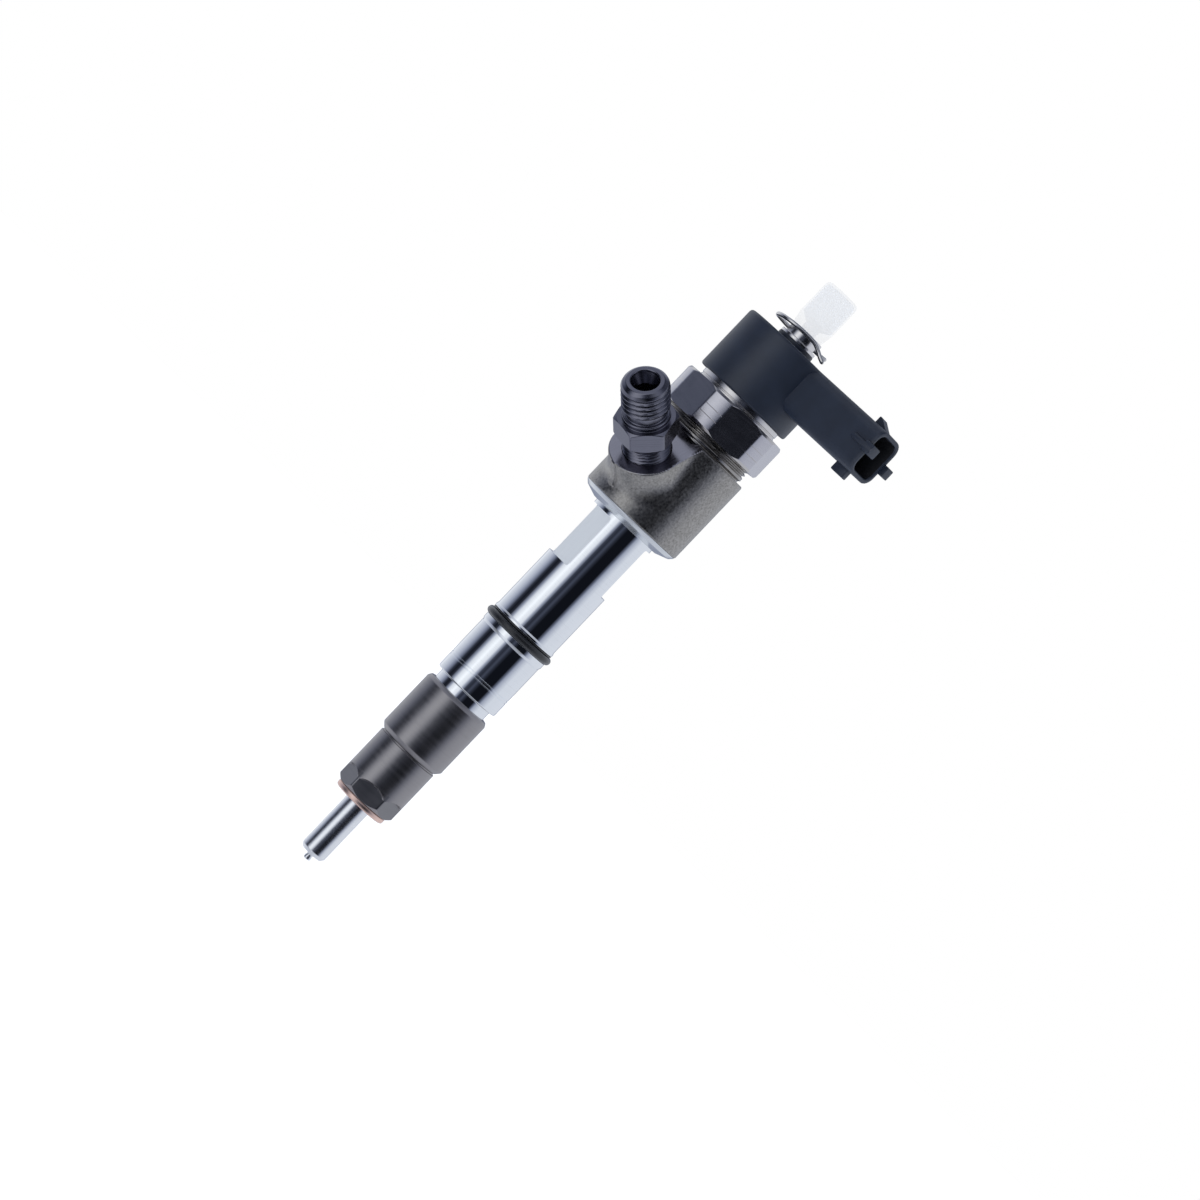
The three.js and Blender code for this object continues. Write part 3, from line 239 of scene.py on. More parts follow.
def tube(name, path, radius, sides=14, sharp=60):
    """A wire of round section along points in millimetres, with domed ends."""
    points = [Vector(p) for p in path]
    tangents = []
    for i in range(len(points)):
        before = points[max(i - 1, 0)]
        after = points[min(i + 1, len(points) - 1)]
        tangents.append((after - before).normalized())
    side = tangents[0].orthogonal().normalized()
    loops = []
    dome = [(-0.9, 0.45), (-0.5, 0.85)]

    def ring(centre, tangent, side, scale):
        other = tangent.cross(side)
        return [tuple(centre + radius * scale * (
            side * math.cos(FULL_TURN * k / sides) + other * math.sin(FULL_TURN * k / sides)))
            for k in range(sides)]

    for shift, scale in dome:
        loops.append(ring(points[0] + tangents[0] * shift * radius, tangents[0], side, scale))
    for p, tangent in zip(points, tangents):
        side = (side - tangent * side.dot(tangent)).normalized()
        loops.append(ring(p, tangent, side, 1))
    for shift, scale in reversed(dome):
        loops.append(ring(points[-1] - tangents[-1] * shift * radius, tangents[-1], side, scale))
    return loft(name, loops, sharp)


def smooth_path(points, steps=8):
    """A Catmull-Rom line through the points."""
    pts = [Vector(p) for p in points]
    pts = [2 * pts[0] - pts[1]] + pts + [2 * pts[-1] - pts[-2]]
    out = []
    for i in range(1, len(pts) - 2):
        p0, p1, p2, p3 = pts[i - 1:i + 3]
        for k in range(steps):
            t = k / steps
            out.append(0.5 * (2 * p1 + (p2 - p0) * t + (2 * p0 - 5 * p1 + 4 * p2 - p3) * t ** 2
                              + (3 * p1 - p0 - 3 * p2 + p3) * t ** 3))
    out.append(pts[-2])
    return out


def combine(target, other, operation, sharp=32):
    """Joins or cuts two closed pieces and keeps the result in target."""
    step = target.modifiers.new("combine", "BOOLEAN")
    step.object = other
    step.operation = operation
    step.solver = "EXACT"
    bpy.context.view_layer.update()
    graph = bpy.context.evaluated_depsgraph_get()
    mesh = bpy.data.meshes.new_from_object(target.evaluated_get(graph))
    target.modifiers.clear()
    target.data = mesh
    mesh.name = target.name
    bpy.data.objects.remove(other)
    tidy_mesh(target, sharp)


def blend_min(a, b, k):
    """The smaller of two values, with the change between them rounded over a width k."""
    h = np.clip(0.5 + 0.5 * (b - a) / k, 0, 1)
    return b * (1 - h) + a * h - k * h * (1 - h)


def blend_max(a, b, k):
    """The larger of two values, blended in the same way."""
    return -blend_min(-a, -b, k)


def ease(low_edge, high_edge, value):
    """A smooth step from 0 to 1 between the two edges."""
    t = np.clip((value - low_edge) / (high_edge - low_edge), 0, 1)
    return t * t * (3 - 2 * t)


def hexagon_radius(theta, apothem, azimuth):
    """The distance from a hexagon's axis to its flats in the direction theta."""
    sector = (theta - azimuth + math.pi / 6) % (math.pi / 3) - math.pi / 6
    return apothem / np.cos(sector)


def across_flats(point, azimuth):
    """How far a point lies from a hexagon's axis, measured square to the nearest flat."""
    sector = (math.atan2(point.y, point.x) - azimuth + math.pi / 6) % (math.pi / 3)
    return point.xy.length * math.cos(sector - math.pi / 6)


def threaded(radius, pitch, depth, start, end, run=None):
    """A radius function for a screw thread between two heights."""
    run = run or pitch

    def shape(theta, z, r):
        if r < radius - 0.25 or z <= start or z >= end:
            return np.full(theta.shape, float(r))
        phase = (z / pitch - theta / FULL_TURN) % 1
        dip = np.clip(1.35 * (1 - np.abs(2 * phase - 1)) - 0.18, 0, 1)
        fade = ease(start, start + run, z) * (1 - ease(end - run, end, z))
        return r - depth * dip * fade
    return shape


def wobble(points, cell, seed):
    """Smooth value noise at points in millimetres, from -1 to 1."""
    side = 32
    lattice = np.random.default_rng(seed).uniform(-1, 1, (side, side, side))
    scaled = points / cell
    base = np.floor(scaled).astype(int)
    t = scaled - base
    t = t * t * (3 - 2 * t)
    total = np.zeros(len(points))
    for dx in (0, 1):
        for dy in (0, 1):
            for dz in (0, 1):
                weight = (np.where(dx, t[:, 0], 1 - t[:, 0]) * np.where(dy, t[:, 1], 1 - t[:, 1])
                          * np.where(dz, t[:, 2], 1 - t[:, 2]))
                x, y, z = ((base + (dx, dy, dz)) % side).T
                total += weight * lattice[x, y, z]
    return total


# ---------------------------------------------------------------- materials


def node(tree, kind, sockets=None, **properties):
    """A new shader node with its properties set and its sockets linked or filled."""
    made = tree.nodes.new(kind)
    for key, value in properties.items():
        setattr(made, key, value)
    for key, value in (sockets or {}).items():
        if isinstance(value, bpy.types.NodeSocket):
            tree.links.new(value, made.inputs[key])
        else:
            made.inputs[key].default_value = value
    return made


def start_material(name):
    """A new material with its node tree, its shader and the object's own coordinates."""
    material = bpy.data.materials.new(name)
    material.use_nodes = True
    tree = material.node_tree
    shader = tree.nodes["Principled BSDF"]
    place = tree.nodes.new("ShaderNodeTexCoord").outputs["Object"]
    return material, tree, shader, place


def noise(tree, place, size, detail=3, rough=0.5):
    """Noise whose features are about size millimetres across."""
    return node(tree, "ShaderNodeTexNoise", {
        "Vector": place, "Scale": 1 / (size * MM), "Detail": detail, "Roughness": rough,
    }).outputs["Fac"]


def stretch(tree, value, a, b, low_value, high_value):
    """Maps a value running from a to b on to the range from low_value to high_value."""
    return node(tree, "ShaderNodeMapRange", {
        "Value": value, "From Min": a, "From Max": b, "To Min": low_value, "To Max": high_value,
    }).outputs["Result"]


def two_tone(tree, value, dark, light, a=0.35, b=0.65):
    """A colour that runs from dark at a to light at b."""
    ramp = node(tree, "ShaderNodeValToRGB", {"Fac": value})
    ramp.color_ramp.elements[0].position = a
    ramp.color_ramp.elements[0].color = (*dark, 1)
    ramp.color_ramp.elements[1].position = b
    ramp.color_ramp.elements[1].color = (*light, 1)
    return ramp.outputs["Color"]


def turning_lines(tree, place, axis, size):
    """Fine rings around an axis, as a lathe leaves."""
    along = node(tree, "ShaderNodeVectorMath", {0: place, 1: axis}, operation="DOT_PRODUCT")
    scaled = node(tree, "ShaderNodeMath", {0: along.outputs["Value"], 1: 1 / (size * MM)},
                  operation="MULTIPLY").outputs[0]
    return node(tree, "ShaderNodeTexNoise", {"W": scaled, "Scale": 1, "Detail": 2},
                noise_dimensions="1D").outputs["Fac"]


def bump(tree, height, depth, normal=None):
    """A bump of the given depth in millimetres, laid over another normal where there is one."""
    sockets = {"Height": height, "Distance": depth * MM, "Strength": 1.0}
    if normal is not None:
        sockets["Normal"] = normal
    return node(tree, "ShaderNodeBump", sockets).outputs["Normal"]


def mix_colours(tree, factor, first, second):
    """Mixes two colours. The node's sockets go by number, as their names repeat between types."""
    return node(tree, "ShaderNodeMix", {0: factor, 6: first, 7: second},
                data_type="RGBA").outputs[2]


def shade(colour, factor):
    """A colour made brighter or darker, never brighter than 1."""
    return tuple(min(1, c * factor) for c in colour)


def metal(name, colour, rough, spread=0.04, tone=0.08, patch=4.0, line=0.25, line_depth=0.0004,
          grain=0.0, grain_size=0.3, axis=(0, 0, 1)):
    """Machined metal: ring-shaped tool marks, faint patches and an optional fine grain."""
    material, tree, shader, place = start_material(name)
    patches = noise(tree, place, patch, 4)
    rings = turning_lines(tree, place, axis, line)
    mixed = node(tree, "ShaderNodeMath", {0: patches, 1: rings}, operation="ADD").outputs[0]
    colours = two_tone(tree, mixed, shade(colour, 1 - tone), shade(colour, 1 + tone), 0.75, 1.25)
    tree.links.new(colours, shader.inputs["Base Color"])
    tree.links.new(stretch(tree, mixed, 0.7, 1.3, rough - spread, rough + spread),
                   shader.inputs["Roughness"])
    shader.inputs["Metallic"].default_value = 1
    normal = bump(tree, rings, line_depth)
    if grain:
        normal = bump(tree, noise(tree, place, grain_size, 3, 0.6), grain, normal)
    tree.links.new(normal, shader.inputs["Normal"])
    return material


def forged(name, dark, light):
    """Blasted forging skin: fine speckle in colour and gloss over a pitted surface."""
    material, tree, shader, place = start_material(name)
    fine = noise(tree, place, 0.55, 5, 0.62)
    specks = node(tree, "ShaderNodeTexVoronoi", {"Vector": place, "Scale": 1 / (0.8 * MM)})
    colours = two_tone(tree, fine, dark, light, 0.34, 0.66)
    pits = stretch(tree, specks.outputs["Distance"], 0.0, 0.2, 0.4, 0.0)
    pit_colour = (*shade(dark, 0.5), 1)
    tree.links.new(mix_colours(tree, pits, colours, pit_colour), shader.inputs["Base Color"])
    tree.links.new(stretch(tree, fine, 0.3, 0.7, 0.26, 0.42), shader.inputs["Roughness"])
    shader.inputs["Metallic"].default_value = 1
    tree.links.new(bump(tree, fine, 0.03), shader.inputs["Normal"])
    return material


def moulded(name, colour, rough, tone=0.12, texture=0.02, texture_size=0.25, coat=0.0,
            index=1.5):
    """Moulded plastic or rubber with a fine surface texture."""
    material, tree, shader, place = start_material(name)
    patches = noise(tree, place, 5, 4)
    fine = noise(tree, place, texture_size, 4, 0.6)
    colours = two_tone(tree, patches, shade(colour, 1 - tone), shade(colour, 1 + tone))
    tree.links.new(colours, shader.inputs["Base Color"])
    tree.links.new(stretch(tree, fine, 0.3, 0.7, rough - 0.06, rough + 0.06),
                   shader.inputs["Roughness"])
    tree.links.new(bump(tree, fine, texture), shader.inputs["Normal"])
    shader.inputs["IOR"].default_value = index
    if coat:
        shader.inputs["Coat Weight"].default_value = coat
        shader.inputs["Coat Roughness"].default_value = 0.25
    return material


def translucent(name, colour):
    """Thin clear plastic with a faint cloudiness."""
    material, tree, shader, place = start_material(name)
    cloud = noise(tree, place, 2.5, 4)
    colours = two_tone(tree, cloud, shade(colour, 0.985), colour)
    tree.links.new(colours, shader.inputs["Base Color"])
    tree.links.new(stretch(tree, noise(tree, place, 0.4, 3), 0.3, 0.7, 0.28, 0.4),
                   shader.inputs["Roughness"])
    shader.inputs["Alpha"].default_value = 0.09
    tree.links.new(bump(tree, noise(tree, place, 2.5, 2), 0.004), shader.inputs["Normal"])
    return material


CHROME = metal("ground_chrome", (0.93, 0.95, 0.97), 0.045, 0.012, 0.015, 6, 0.35, 0.00015)
STEM = metal("ground_stem", (0.93, 0.94, 0.96), 0.25, 0.03, 0.03, 4, 0.12, 0.0004)
MILLED = metal("milled_flat", (0.84, 0.87, 0.89), 0.34, 0.04, 0.04, 5, 0.4, 0.0004,
               axis=(math.cos(CLAMP_AZIMUTH + 1.57), math.sin(CLAMP_AZIMUTH + 1.57), 0))
SATIN = metal("turned_shoulder", (0.76, 0.78, 0.80), 0.22, 0.04, 0.04, 3, 0.12, 0.0008)
NUT = metal("phosphated_nut", (0.36, 0.345, 0.35), 0.34, 0.04, 0.03, 5, 0.9, 0.0001, 0.004, 0.3)
NUT_FLAT = metal("phosphated_flat", (0.25, 0.245, 0.255), 0.34, 0.04, 0.05, 5, 0.9, 0.0001,
                 0.004, 0.3)
HEX = metal("machined_hexagon", (0.60, 0.575, 0.56), 0.18, 0.03, 0.03, 3, 1.2, 0.0002)
HEX_FLAT = metal("milled_hexagon", (0.58, 0.57, 0.61), 0.25, 0.02, 0.02, 3, 0.9, 0.00003,
                 axis=(0.2, 0.1, 0.97))
SLEEVE = metal("turned_sleeve", (0.70, 0.68, 0.67), 0.20, 0.03, 0.03, 3, 0.2, 0.0006)
THREAD = metal("thread_steel", (0.36, 0.345, 0.33), 0.20, 0.04, 0.08, 2, 0.5, 0.0006)
FORGED = forged("forged_skin", (0.27, 0.258, 0.242), (0.50, 0.48, 0.455))
FACED = metal("milled_face", (0.40, 0.39, 0.43), 0.20, 0.03, 0.03, 3, 0.5, 0.0002,
              axis=(0, 1, 0))
BLACK = metal("blackened_steel", (0.19, 0.19, 0.23), 0.23, 0.04, 0.08, 3, 0.3, 0.0005,
              0.001, 0.3, axis=tuple(INLET_AXIS))
PORT = metal("turned_port", (0.76, 0.74, 0.73), 0.20, 0.04, 0.06, 2, 0.15, 0.0008)
WIRE = metal("spring_wire", (0.72, 0.70, 0.68), 0.20, 0.05, 0.08, 1, 0.3, 0.0008)
COPPER = metal("copper", (0.90, 0.65, 0.56), 0.36, 0.05, 0.08, 3, 0.22, 0.004)
HARD = metal("hardened_steel", (0.62, 0.64, 0.67), 0.22, 0.04, 0.06, 3, 0.2, 0.0006)
SPRING = metal("blued_spring", (0.45, 0.46, 0.48), 0.30, 0.05, 0.10, 2, 0.2, 0.0006)
TINNED = metal("tinned_blade", (0.78, 0.78, 0.76), 0.28, 0.05, 0.06, 2, 0.2, 0.0006,
               axis=(0, 1, 0))
COIL = metal("enamelled_coil", (0.55, 0.24, 0.11), 0.32, 0.05, 0.15, 2, 0.35, 0.02)
PLASTIC = moulded("slate_plastic", (0.015, 0.024, 0.046), 0.44, 0.10, 0.005, 0.25, index=1.6)
# A near-black copy of the slate plastic: painted shade for the inside of the connector socket
SOCKET_SHADE = moulded("socket_painted_shade", (0.008, 0.009, 0.012), 0.55, 0.10, 0.006, 0.25)
RUBBER = moulded("seal_rubber", (0.012, 0.013, 0.016), 0.32, 0.15, 0.006, 0.2, 0.3)
HOOD = translucent("clear_plastic", (0.72, 0.84, 1.0))

SLOT_LOOKS = {
    "ground_steel": STEM, "nut_steel": NUT, "forged_steel": FORGED, "black_steel": BLACK,
    "hex_nut_steel": HEX, "copper": COPPER, "spring_steel": SPRING, "hard_steel": HARD,
    "plastic": PLASTIC, "seal_rubber": RUBBER, "clear_plastic": HOOD, "coil_wire": COIL,
    "tinned": TINNED,
}


replaced = set()


def settle(piece, body, slot, nodes, *looks):
    """Gives a finished piece its materials and body, and hides and records the CAD nodes it stands
    for. The slot argument is not used.
    """
    piece.data.materials.clear()
    for look in looks:
        piece.data.materials.append(look)
    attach(piece, body)
    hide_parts(*nodes)
    replaced.update(nodes)


def paint(piece, index, test):
    """Sets a material index on the faces whose centre in millimetres and normal pass."""
    for face in piece.data.polygons:
        if test(face.center / MM, face.normal):
            face.material_index = index


# ---------------------------------------------------------------- nozzle

TIP_RADIUS = 0.95
STEM_RADIUS = 3.5
STEM_ROOT = 4.3
FLANGE_RADIUS = 7.1
FLANGE_LOW = 6.4
NEEDLE_BORE = 2.2
NEEDLE_GUIDE = 2.03
FUEL_GALLERY = 3.0
nozzle = revolve("nozzle", rounded([
    (0, NOSE),
    (TIP_RADIUS, NOSE, 0.8),
    (TIP_RADIUS, NOSE + 0.85, 0.3),
    (0.76, NOSE + 1.3, 0.3),
    (1.0, NOSE + 1.65, 0.15),
    (2.7, NOSE + 1.82, 0.3),
    (STEM_RADIUS, NOSE + 2.75, 0.5),
    (STEM_RADIUS, WASHER_TOP + 0.3),
    (STEM_ROOT, WASHER_TOP + 1.1),
    (STEM_ROOT, FLANGE_LOW),
    (FLANGE_RADIUS, FLANGE_LOW, 0.2),
    (FLANGE_RADIUS, JOINT, 0.2),
    (NEEDLE_GUIDE, JOINT, 0.1),
    (NEEDLE_GUIDE, 12.6),
    (FUEL_GALLERY, 11.6),
    (FUEL_GALLERY, 9.4),
    (NEEDLE_BORE, 8.6),
    (NEEDLE_BORE, -14.0),
    (0.4, -17.15),
    (0.4, NOSE + 0.6),
    (0, NOSE + 0.6),
], closed=False, steps=6), 96, closed=False)
settle(nozzle, "housing", "ground_steel", ["nozzle_body"], STEM)

WASHER_BORE = 3.8
washer = revolve("washer", rounded([
    (WASHER_BORE, 0, 0.15),
    (WASHER_RADIUS, 0, 0.65),
    (WASHER_RADIUS, WASHER_TOP, 0.55),
    (WASHER_BORE, WASHER_TOP, 0.15),
]), 128)
settle(washer, "housing", "copper", ["sealing_washer"], COPPER)


NUT_APOTHEM = 7.5
GRIP_TOP = 7.2
FLAT_TOP = 6.4
FLAT_BOW = 7.1


def nut_shape(theta, z, r):
    """The nut's grip end: a hexagon whose flats end in an arc of radius FLAT_BOW."""
    base = np.full(theta.shape, float(r))
    if r < 6.5 or z > GRIP_TOP:
        return base
    flat = hexagon_radius(theta, NUT_APOTHEM, NUT_AZIMUTH)
    across = NUT_APOTHEM * np.tan(np.arccos(np.clip(NUT_APOTHEM / flat, 0, 1)))
    flat_end = FLAT_TOP - (FLAT_BOW - np.sqrt(FLAT_BOW ** 2 - across ** 2))
    out = np.clip((z - flat_end) / 0.3, 0, 1)
    return blend_min(base, flat * (1 - out) + (r + 0.4) * out, 0.08)


BARREL = NUT_RADIUS - 0.95
NUT_HOLE = 4.6
NUT_BORE = 7.2
NUT_THREAD = 7.95
nozzle_nut = revolve("nozzle_nut_shell", dense(rounded([
    (NUT_HOLE, WASHER_TOP, 0.2),
    (NUT_APOTHEM, WASHER_TOP, 0.2),
    (BARREL, WASHER_TOP + 1.0, 0.3),
    (BARREL, 7.5),
    (BARREL, 17.35, 0.1),
    (BARREL - 0.35, 17.5, 0.1),
    (BARREL - 0.35, 17.78, 0.1),
    (BARREL - 0.05, 18.0, 0.1),
    (NUT_RADIUS, 19.1, 0.6),
    (NUT_RADIUS, NUT_TOP - 1.0, 0.6),
    (NUT_RADIUS - 0.55, NUT_TOP - 0.12, 0.3),
    (NUT_RADIUS - 0.9, NUT_TOP, 0.1),
    (NUT_THREAD, NUT_TOP, 0.2),
    (NUT_THREAD, 21),
    (NUT_BORE, 20.8),
    (NUT_BORE, FLANGE_LOW),
    (NUT_HOLE, FLANGE_LOW),
], steps=5), WASHER_TOP, 7.6, 0.11), 360, nut_shape)
settle(nozzle_nut, "housing", "nut_steel", ["nozzle_nut"], NUT, NUT_FLAT)


def on_nut_flat(centre, normal):
    if centre.z > 7 or abs(normal.z) > 0.3 or centre.xy.length < 7.3:
        return False
    return across_flats(centre, NUT_AZIMUTH) < NUT_APOTHEM + 0.05


paint(nozzle_nut, 1, on_nut_flat)

# ---------------------------------------------------------------- injector body: the ground shank


def clamp_shape(theta, z, r):
    """Two milled flats whose ends are rounded towards the sides."""
    base = np.full(theta.shape, float(r))
    depth = min(z - CLAMP, COLLAR - z)
    if r < 7.5 or depth <= 0:
        return base
    half_width = math.sqrt(SHANK ** 2 - CLAMP_APOTHEM ** 2)
    for side in (0, math.pi):
        off = (theta - CLAMP_AZIMUTH - side + math.pi) % FULL_TURN - math.pi
        off = np.clip(off, -1.2, 1.2)
        plane = CLAMP_APOTHEM / np.cos(off)
        past = np.clip(np.abs(plane * np.sin(off)) - (half_width - 1), 0, 1)
        inset = 1 - np.sqrt(1 - past ** 2)
        base = np.where((depth > inset) & (np.abs(off) < 1.2), np.minimum(base, plane), base)
    return base


def scribe(at):
    """A scribed line round the shank."""
    depth = 0.14
    step = 0.1
    return [(SHANK, at), (SHANK - depth, at + step), (SHANK - depth, at + 2 * step),
            (SHANK, at + 3 * step)]


BODY_FOOT = 7.1
BODY_SCREW = 7.85
LAND_RADIUS = SHANK + 0.2
GROOVE_RADIUS = SHANK - 1.05
SPRING_BORE = 3.8
SPRING_BORE_TOP = 37.0
PISTON_BORE = 2.5
VALVE_BORE = 5.0
VALVE_BORE_FLOOR = 101.5
shank = revolve("shank", dense(rounded([
    (BODY_FOOT, JOINT),
    (BODY_FOOT, 21.2),
    (BODY_SCREW, 21.9),
    (BODY_SCREW, LAND, 0.35),
    (SHANK, LAND, 0.5),
    *scribe(LAND + 4.05),
    *scribe(LAND + 4.85),
    (SHANK, GROOVE - 2.1),
    (SHANK - 0.08, GROOVE - 2.0),
    (SHANK - 0.02, GROOVE - 1.9),
    (LAND_RADIUS, GROOVE - 1.35, 0.15),
    (LAND_RADIUS, GROOVE, 0.15),
    (GROOVE_RADIUS, GROOVE, 0.15),
    (GROOVE_RADIUS, GROOVE_TOP, 0.15),
    (LAND_RADIUS, GROOVE_TOP, 0.15),
    (LAND_RADIUS, GROOVE_TOP + 0.5, 0.3),
    (SHANK, GROOVE_TOP + 1.0, 0.15),
    (SHANK, CLAMP - 0.02),
    (SHANK, CLAMP + 0.02),
    (SHANK, COLLAR - 0.02),
    (SHANK, COLLAR + 0.02),
    (SHANK, HEAD, 0.1),
    (SHANK + 1.0, HEAD, 0.3),
    (HEAD_RADIUS - 1.1, HEAD + 1.15, 0.9),
    (HEAD_RADIUS, SHOULDER_TOP, 0.2),
    (10.0, SHOULDER_TOP),
    (VALVE_BORE, SHOULDER_TOP),
    (VALVE_BORE, VALVE_BORE_FLOOR),
    (PISTON_BORE, VALVE_BORE_FLOOR),
    (PISTON_BORE, SPRING_BORE_TOP),
    (SPRING_BORE, SPRING_BORE_TOP),
    (SPRING_BORE, JOINT),
], steps=5), CLAMP - 0.1, COLLAR + 0.1, 0.12), 300, clamp_shape, sharp=28)
settle(shank, "housing", "forged_steel", ["injector_body"], CHROME, MILLED, SATIN)


def on_clamp_flat(centre, normal):
    if not CLAMP < centre.z < COLLAR:
        return False
    for side in (0, math.pi):
        azimuth = CLAMP_AZIMUTH + side
        across = centre.x * math.cos(azimuth) + centre.y * math.sin(azimuth)
        if abs(across - CLAMP_APOTHEM) < 0.03:
            return True
    return False


paint(shank, 1, on_clamp_flat)
paint(shank, 2, lambda c, n: c.z > HEAD - 0.02 and c.xy.length > SHANK - 0.3)

CORD_RADIUS = 1.0
o_ring = revolve("o_ring", [
    (SHANK + CORD_RADIUS * math.cos(a), (RING_LOW + RING_HIGH) / 2 + CORD_RADIUS * math.sin(a))
    for a in np.linspace(0, FULL_TURN, 24, endpoint=False)], 144, sharp=80)
settle(o_ring, "housing", "seal_rubber", ["body_o_ring"], RUBBER)
backup_ring = revolve("backup_ring", rounded([
    (SHANK - 1.0, BACKUP_LOW, 0.1),
    (SHANK + 0.15, BACKUP_LOW, 0.1),
    (SHANK + 0.15, BACKUP_HIGH, 0.1),
    (SHANK - 1.0, BACKUP_HIGH, 0.1),
]), 144)
settle(backup_ring, "housing", "seal_rubber", ["body_backup_ring"], RUBBER)

# ---------------------------------------------------------------- injector body: the forged head


BOSS_RADIUS = 9.35
BOSS_TAPER = 0.1
FLASH_LOW = 98.4
FLASH_HIGH = 103.4


def head_shape(theta, z, r):
    """The head, with a boss that is round below the inlet and runs up to the head's top."""
    base = np.full(theta.shape, float(r))
    if r < 13.5:
        return base
    rise = z - INLET_BASE
    fx, fz = INLET_AXIS.x, INLET_AXIS.z
    forward, sideways = np.cos(theta), np.abs(np.sin(theta))
    outward = forward > 0.02
    forward = np.where(outward, forward, 1)
    along = fx * forward
    a = 1 - along ** 2
    b = rise * fz * along
    c = rise ** 2 * (1 - fz ** 2) - BOSS_RADIUS ** 2
    root = b ** 2 - a * c
    boss = np.where(root > 0, (b + np.sqrt(np.maximum(root, 0))) / np.maximum(a, 1e-6), 0)
    if rise > 0:
        spread = np.maximum(sideways - BOSS_TAPER * fz * forward, 1e-4)
        straight = (BOSS_RADIUS - BOSS_TAPER * fx * rise) / spread
        boss = np.where(straight < fx * rise / (fz * forward), straight, boss)
    skin = blend_max(base, np.where(outward, boss, 0), 3.0)
    y = skin * np.sin(theta)
    rib = ease(-2.1, -1.7, y) * (1 - ease(-0.15, 0.1, y))
    notch = 0.4 * np.exp(-((y - 0.1) / 0.2) ** 2)
    flash = ease(FLASH_LOW, FLASH_LOW + 0.6, z) * (1 - ease(FLASH_HIGH - 0.8, FLASH_HIGH, z))
    skin = skin + np.where(outward, 0.55 * (rib - notch) * flash, 0)
    spot = np.stack([skin * np.cos(theta), skin * np.sin(theta), np.full(theta.shape, z)], 1)
    skin = skin + 0.012 * wobble(spot, 0.9, 5)
    face = (INLET_FACE - rise * fz) / along
    up_face = np.maximum(fx * rise - fz * face * forward, 0)
    beyond = np.maximum(face * sideways - (BOSS_RADIUS - BOSS_TAPER * up_face), 0)
    cut = np.where(outward, face + 2 * beyond, 99)
    return blend_min(skin, cut, 0.6)


HEAD_BORE = 8.5
HEAD_BORE_FLOOR = 104.0
head = revolve("forged_head", dense(rounded([
    (VALVE_BORE, HEAD + 2.32),
    (HEAD_RADIUS - 0.15, HEAD + 2.32, 0.1),
    (HEAD_RADIUS, HEAD + 2.6, 0.2),
    (HEAD_RADIUS, HEAD_TOP - 0.3, 0.1),
    (HEAD_RADIUS - 0.25, HEAD_TOP - 0.02),
    (HEAD_RADIUS - 0.9, HEAD_TOP),
    (HEAD_BORE, HEAD_TOP),
    (HEAD_BORE, HEAD_BORE_FLOOR),
    (VALVE_BORE, HEAD_BORE_FLOOR),
], steps=3), HEAD + 2.4, HEAD_TOP, 0.16), 420, head_shape, sharp=30)


HOLE_RADIUS = 6.15
HOLE_DEPTH = 2.5
drill = revolve("inlet_hole", [
    (0, INLET_FACE - HOLE_DEPTH),
    (HOLE_RADIUS, INLET_FACE - HOLE_DEPTH),
    (HOLE_RADIUS, INLET_FACE + 12),
    (0, INLET_FACE + 12),
], 96, closed=False, placed=INLET_FRAME)
combine(head, drill, "DIFFERENCE", 30)
settle(head, "housing", "forged_steel", ["injector_body"], FORGED, FACED, NUT)
AXIS_ORIGIN = Vector((0, 0, INLET_BASE))


def on_milled_face(centre, normal):
    out = (centre - AXIS_ORIGIN).dot(INLET_AXIS)
    return normal.dot(INLET_AXIS) > 0.84 and out > INLET_FACE - 0.8


def in_inlet_hole_painted_shade(centre, normal):
    reach = centre - AXIS_ORIGIN
    out = reach.dot(INLET_AXIS)
    away = (reach - INLET_AXIS * out).length
    return away < HOLE_RADIUS + 0.05 and out < INLET_FACE - 0.02


paint(head, 1, on_milled_face)
# The inlet hole's walls in the forged head get the dark nut steel as painted shade in the recess
paint(head, 2, in_inlet_hole_painted_shade)

THREAD_BORE = 10.2
body_thread = revolve("body_thread", dense(rounded([
    (THREAD_BORE, HEAD_TOP - 0.06),
    (THREAD_RADIUS - 0.5, HEAD_TOP - 0.06, 0.1),
    (THREAD_RADIUS - 0.5, HEAD_TOP + 0.3, 0.1),
    (THREAD_RADIUS - 0.35, HEAD_TOP + 0.55, 0.1),
    (THREAD_RADIUS, HEAD_TOP + 0.8, 0.1),
    (THREAD_RADIUS, BODY_TOP - 0.3, 0.1),
    (THREAD_RADIUS - 0.3, BODY_TOP, 0.1),
    (THREAD_BORE, BODY_TOP),
], steps=3), HEAD_TOP + 0.8, BODY_TOP - 0.2, 0.07), 120,
    threaded(THREAD_RADIUS, 1.0, 0.62, HEAD_TOP + 0.9, BODY_TOP - 0.3))
settle(body_thread, "housing", "forged_steel", ["injector_body"], THREAD)

# ---------------------------------------------------------------- inlet fitting

HEX_START = INLET_FACE + 5.2
HEX_END = HEX_START + 5.6
NECK_START = HEX_END + 1.2
SCREW_START = NECK_START + 2.9
FITTING_TOP = SCREW_START + 7.6
FITTING_FOOT = 12.3
SCREW_RADIUS = 6.0
SCREW_PITCH = 1.5
FITTING_APOTHEM = 7.0
FITTING_CORNER = 8.0
FITTING_MOUTH = 3.6
FITTING_BORE = 2.25
FILTER_STOP = 1.5


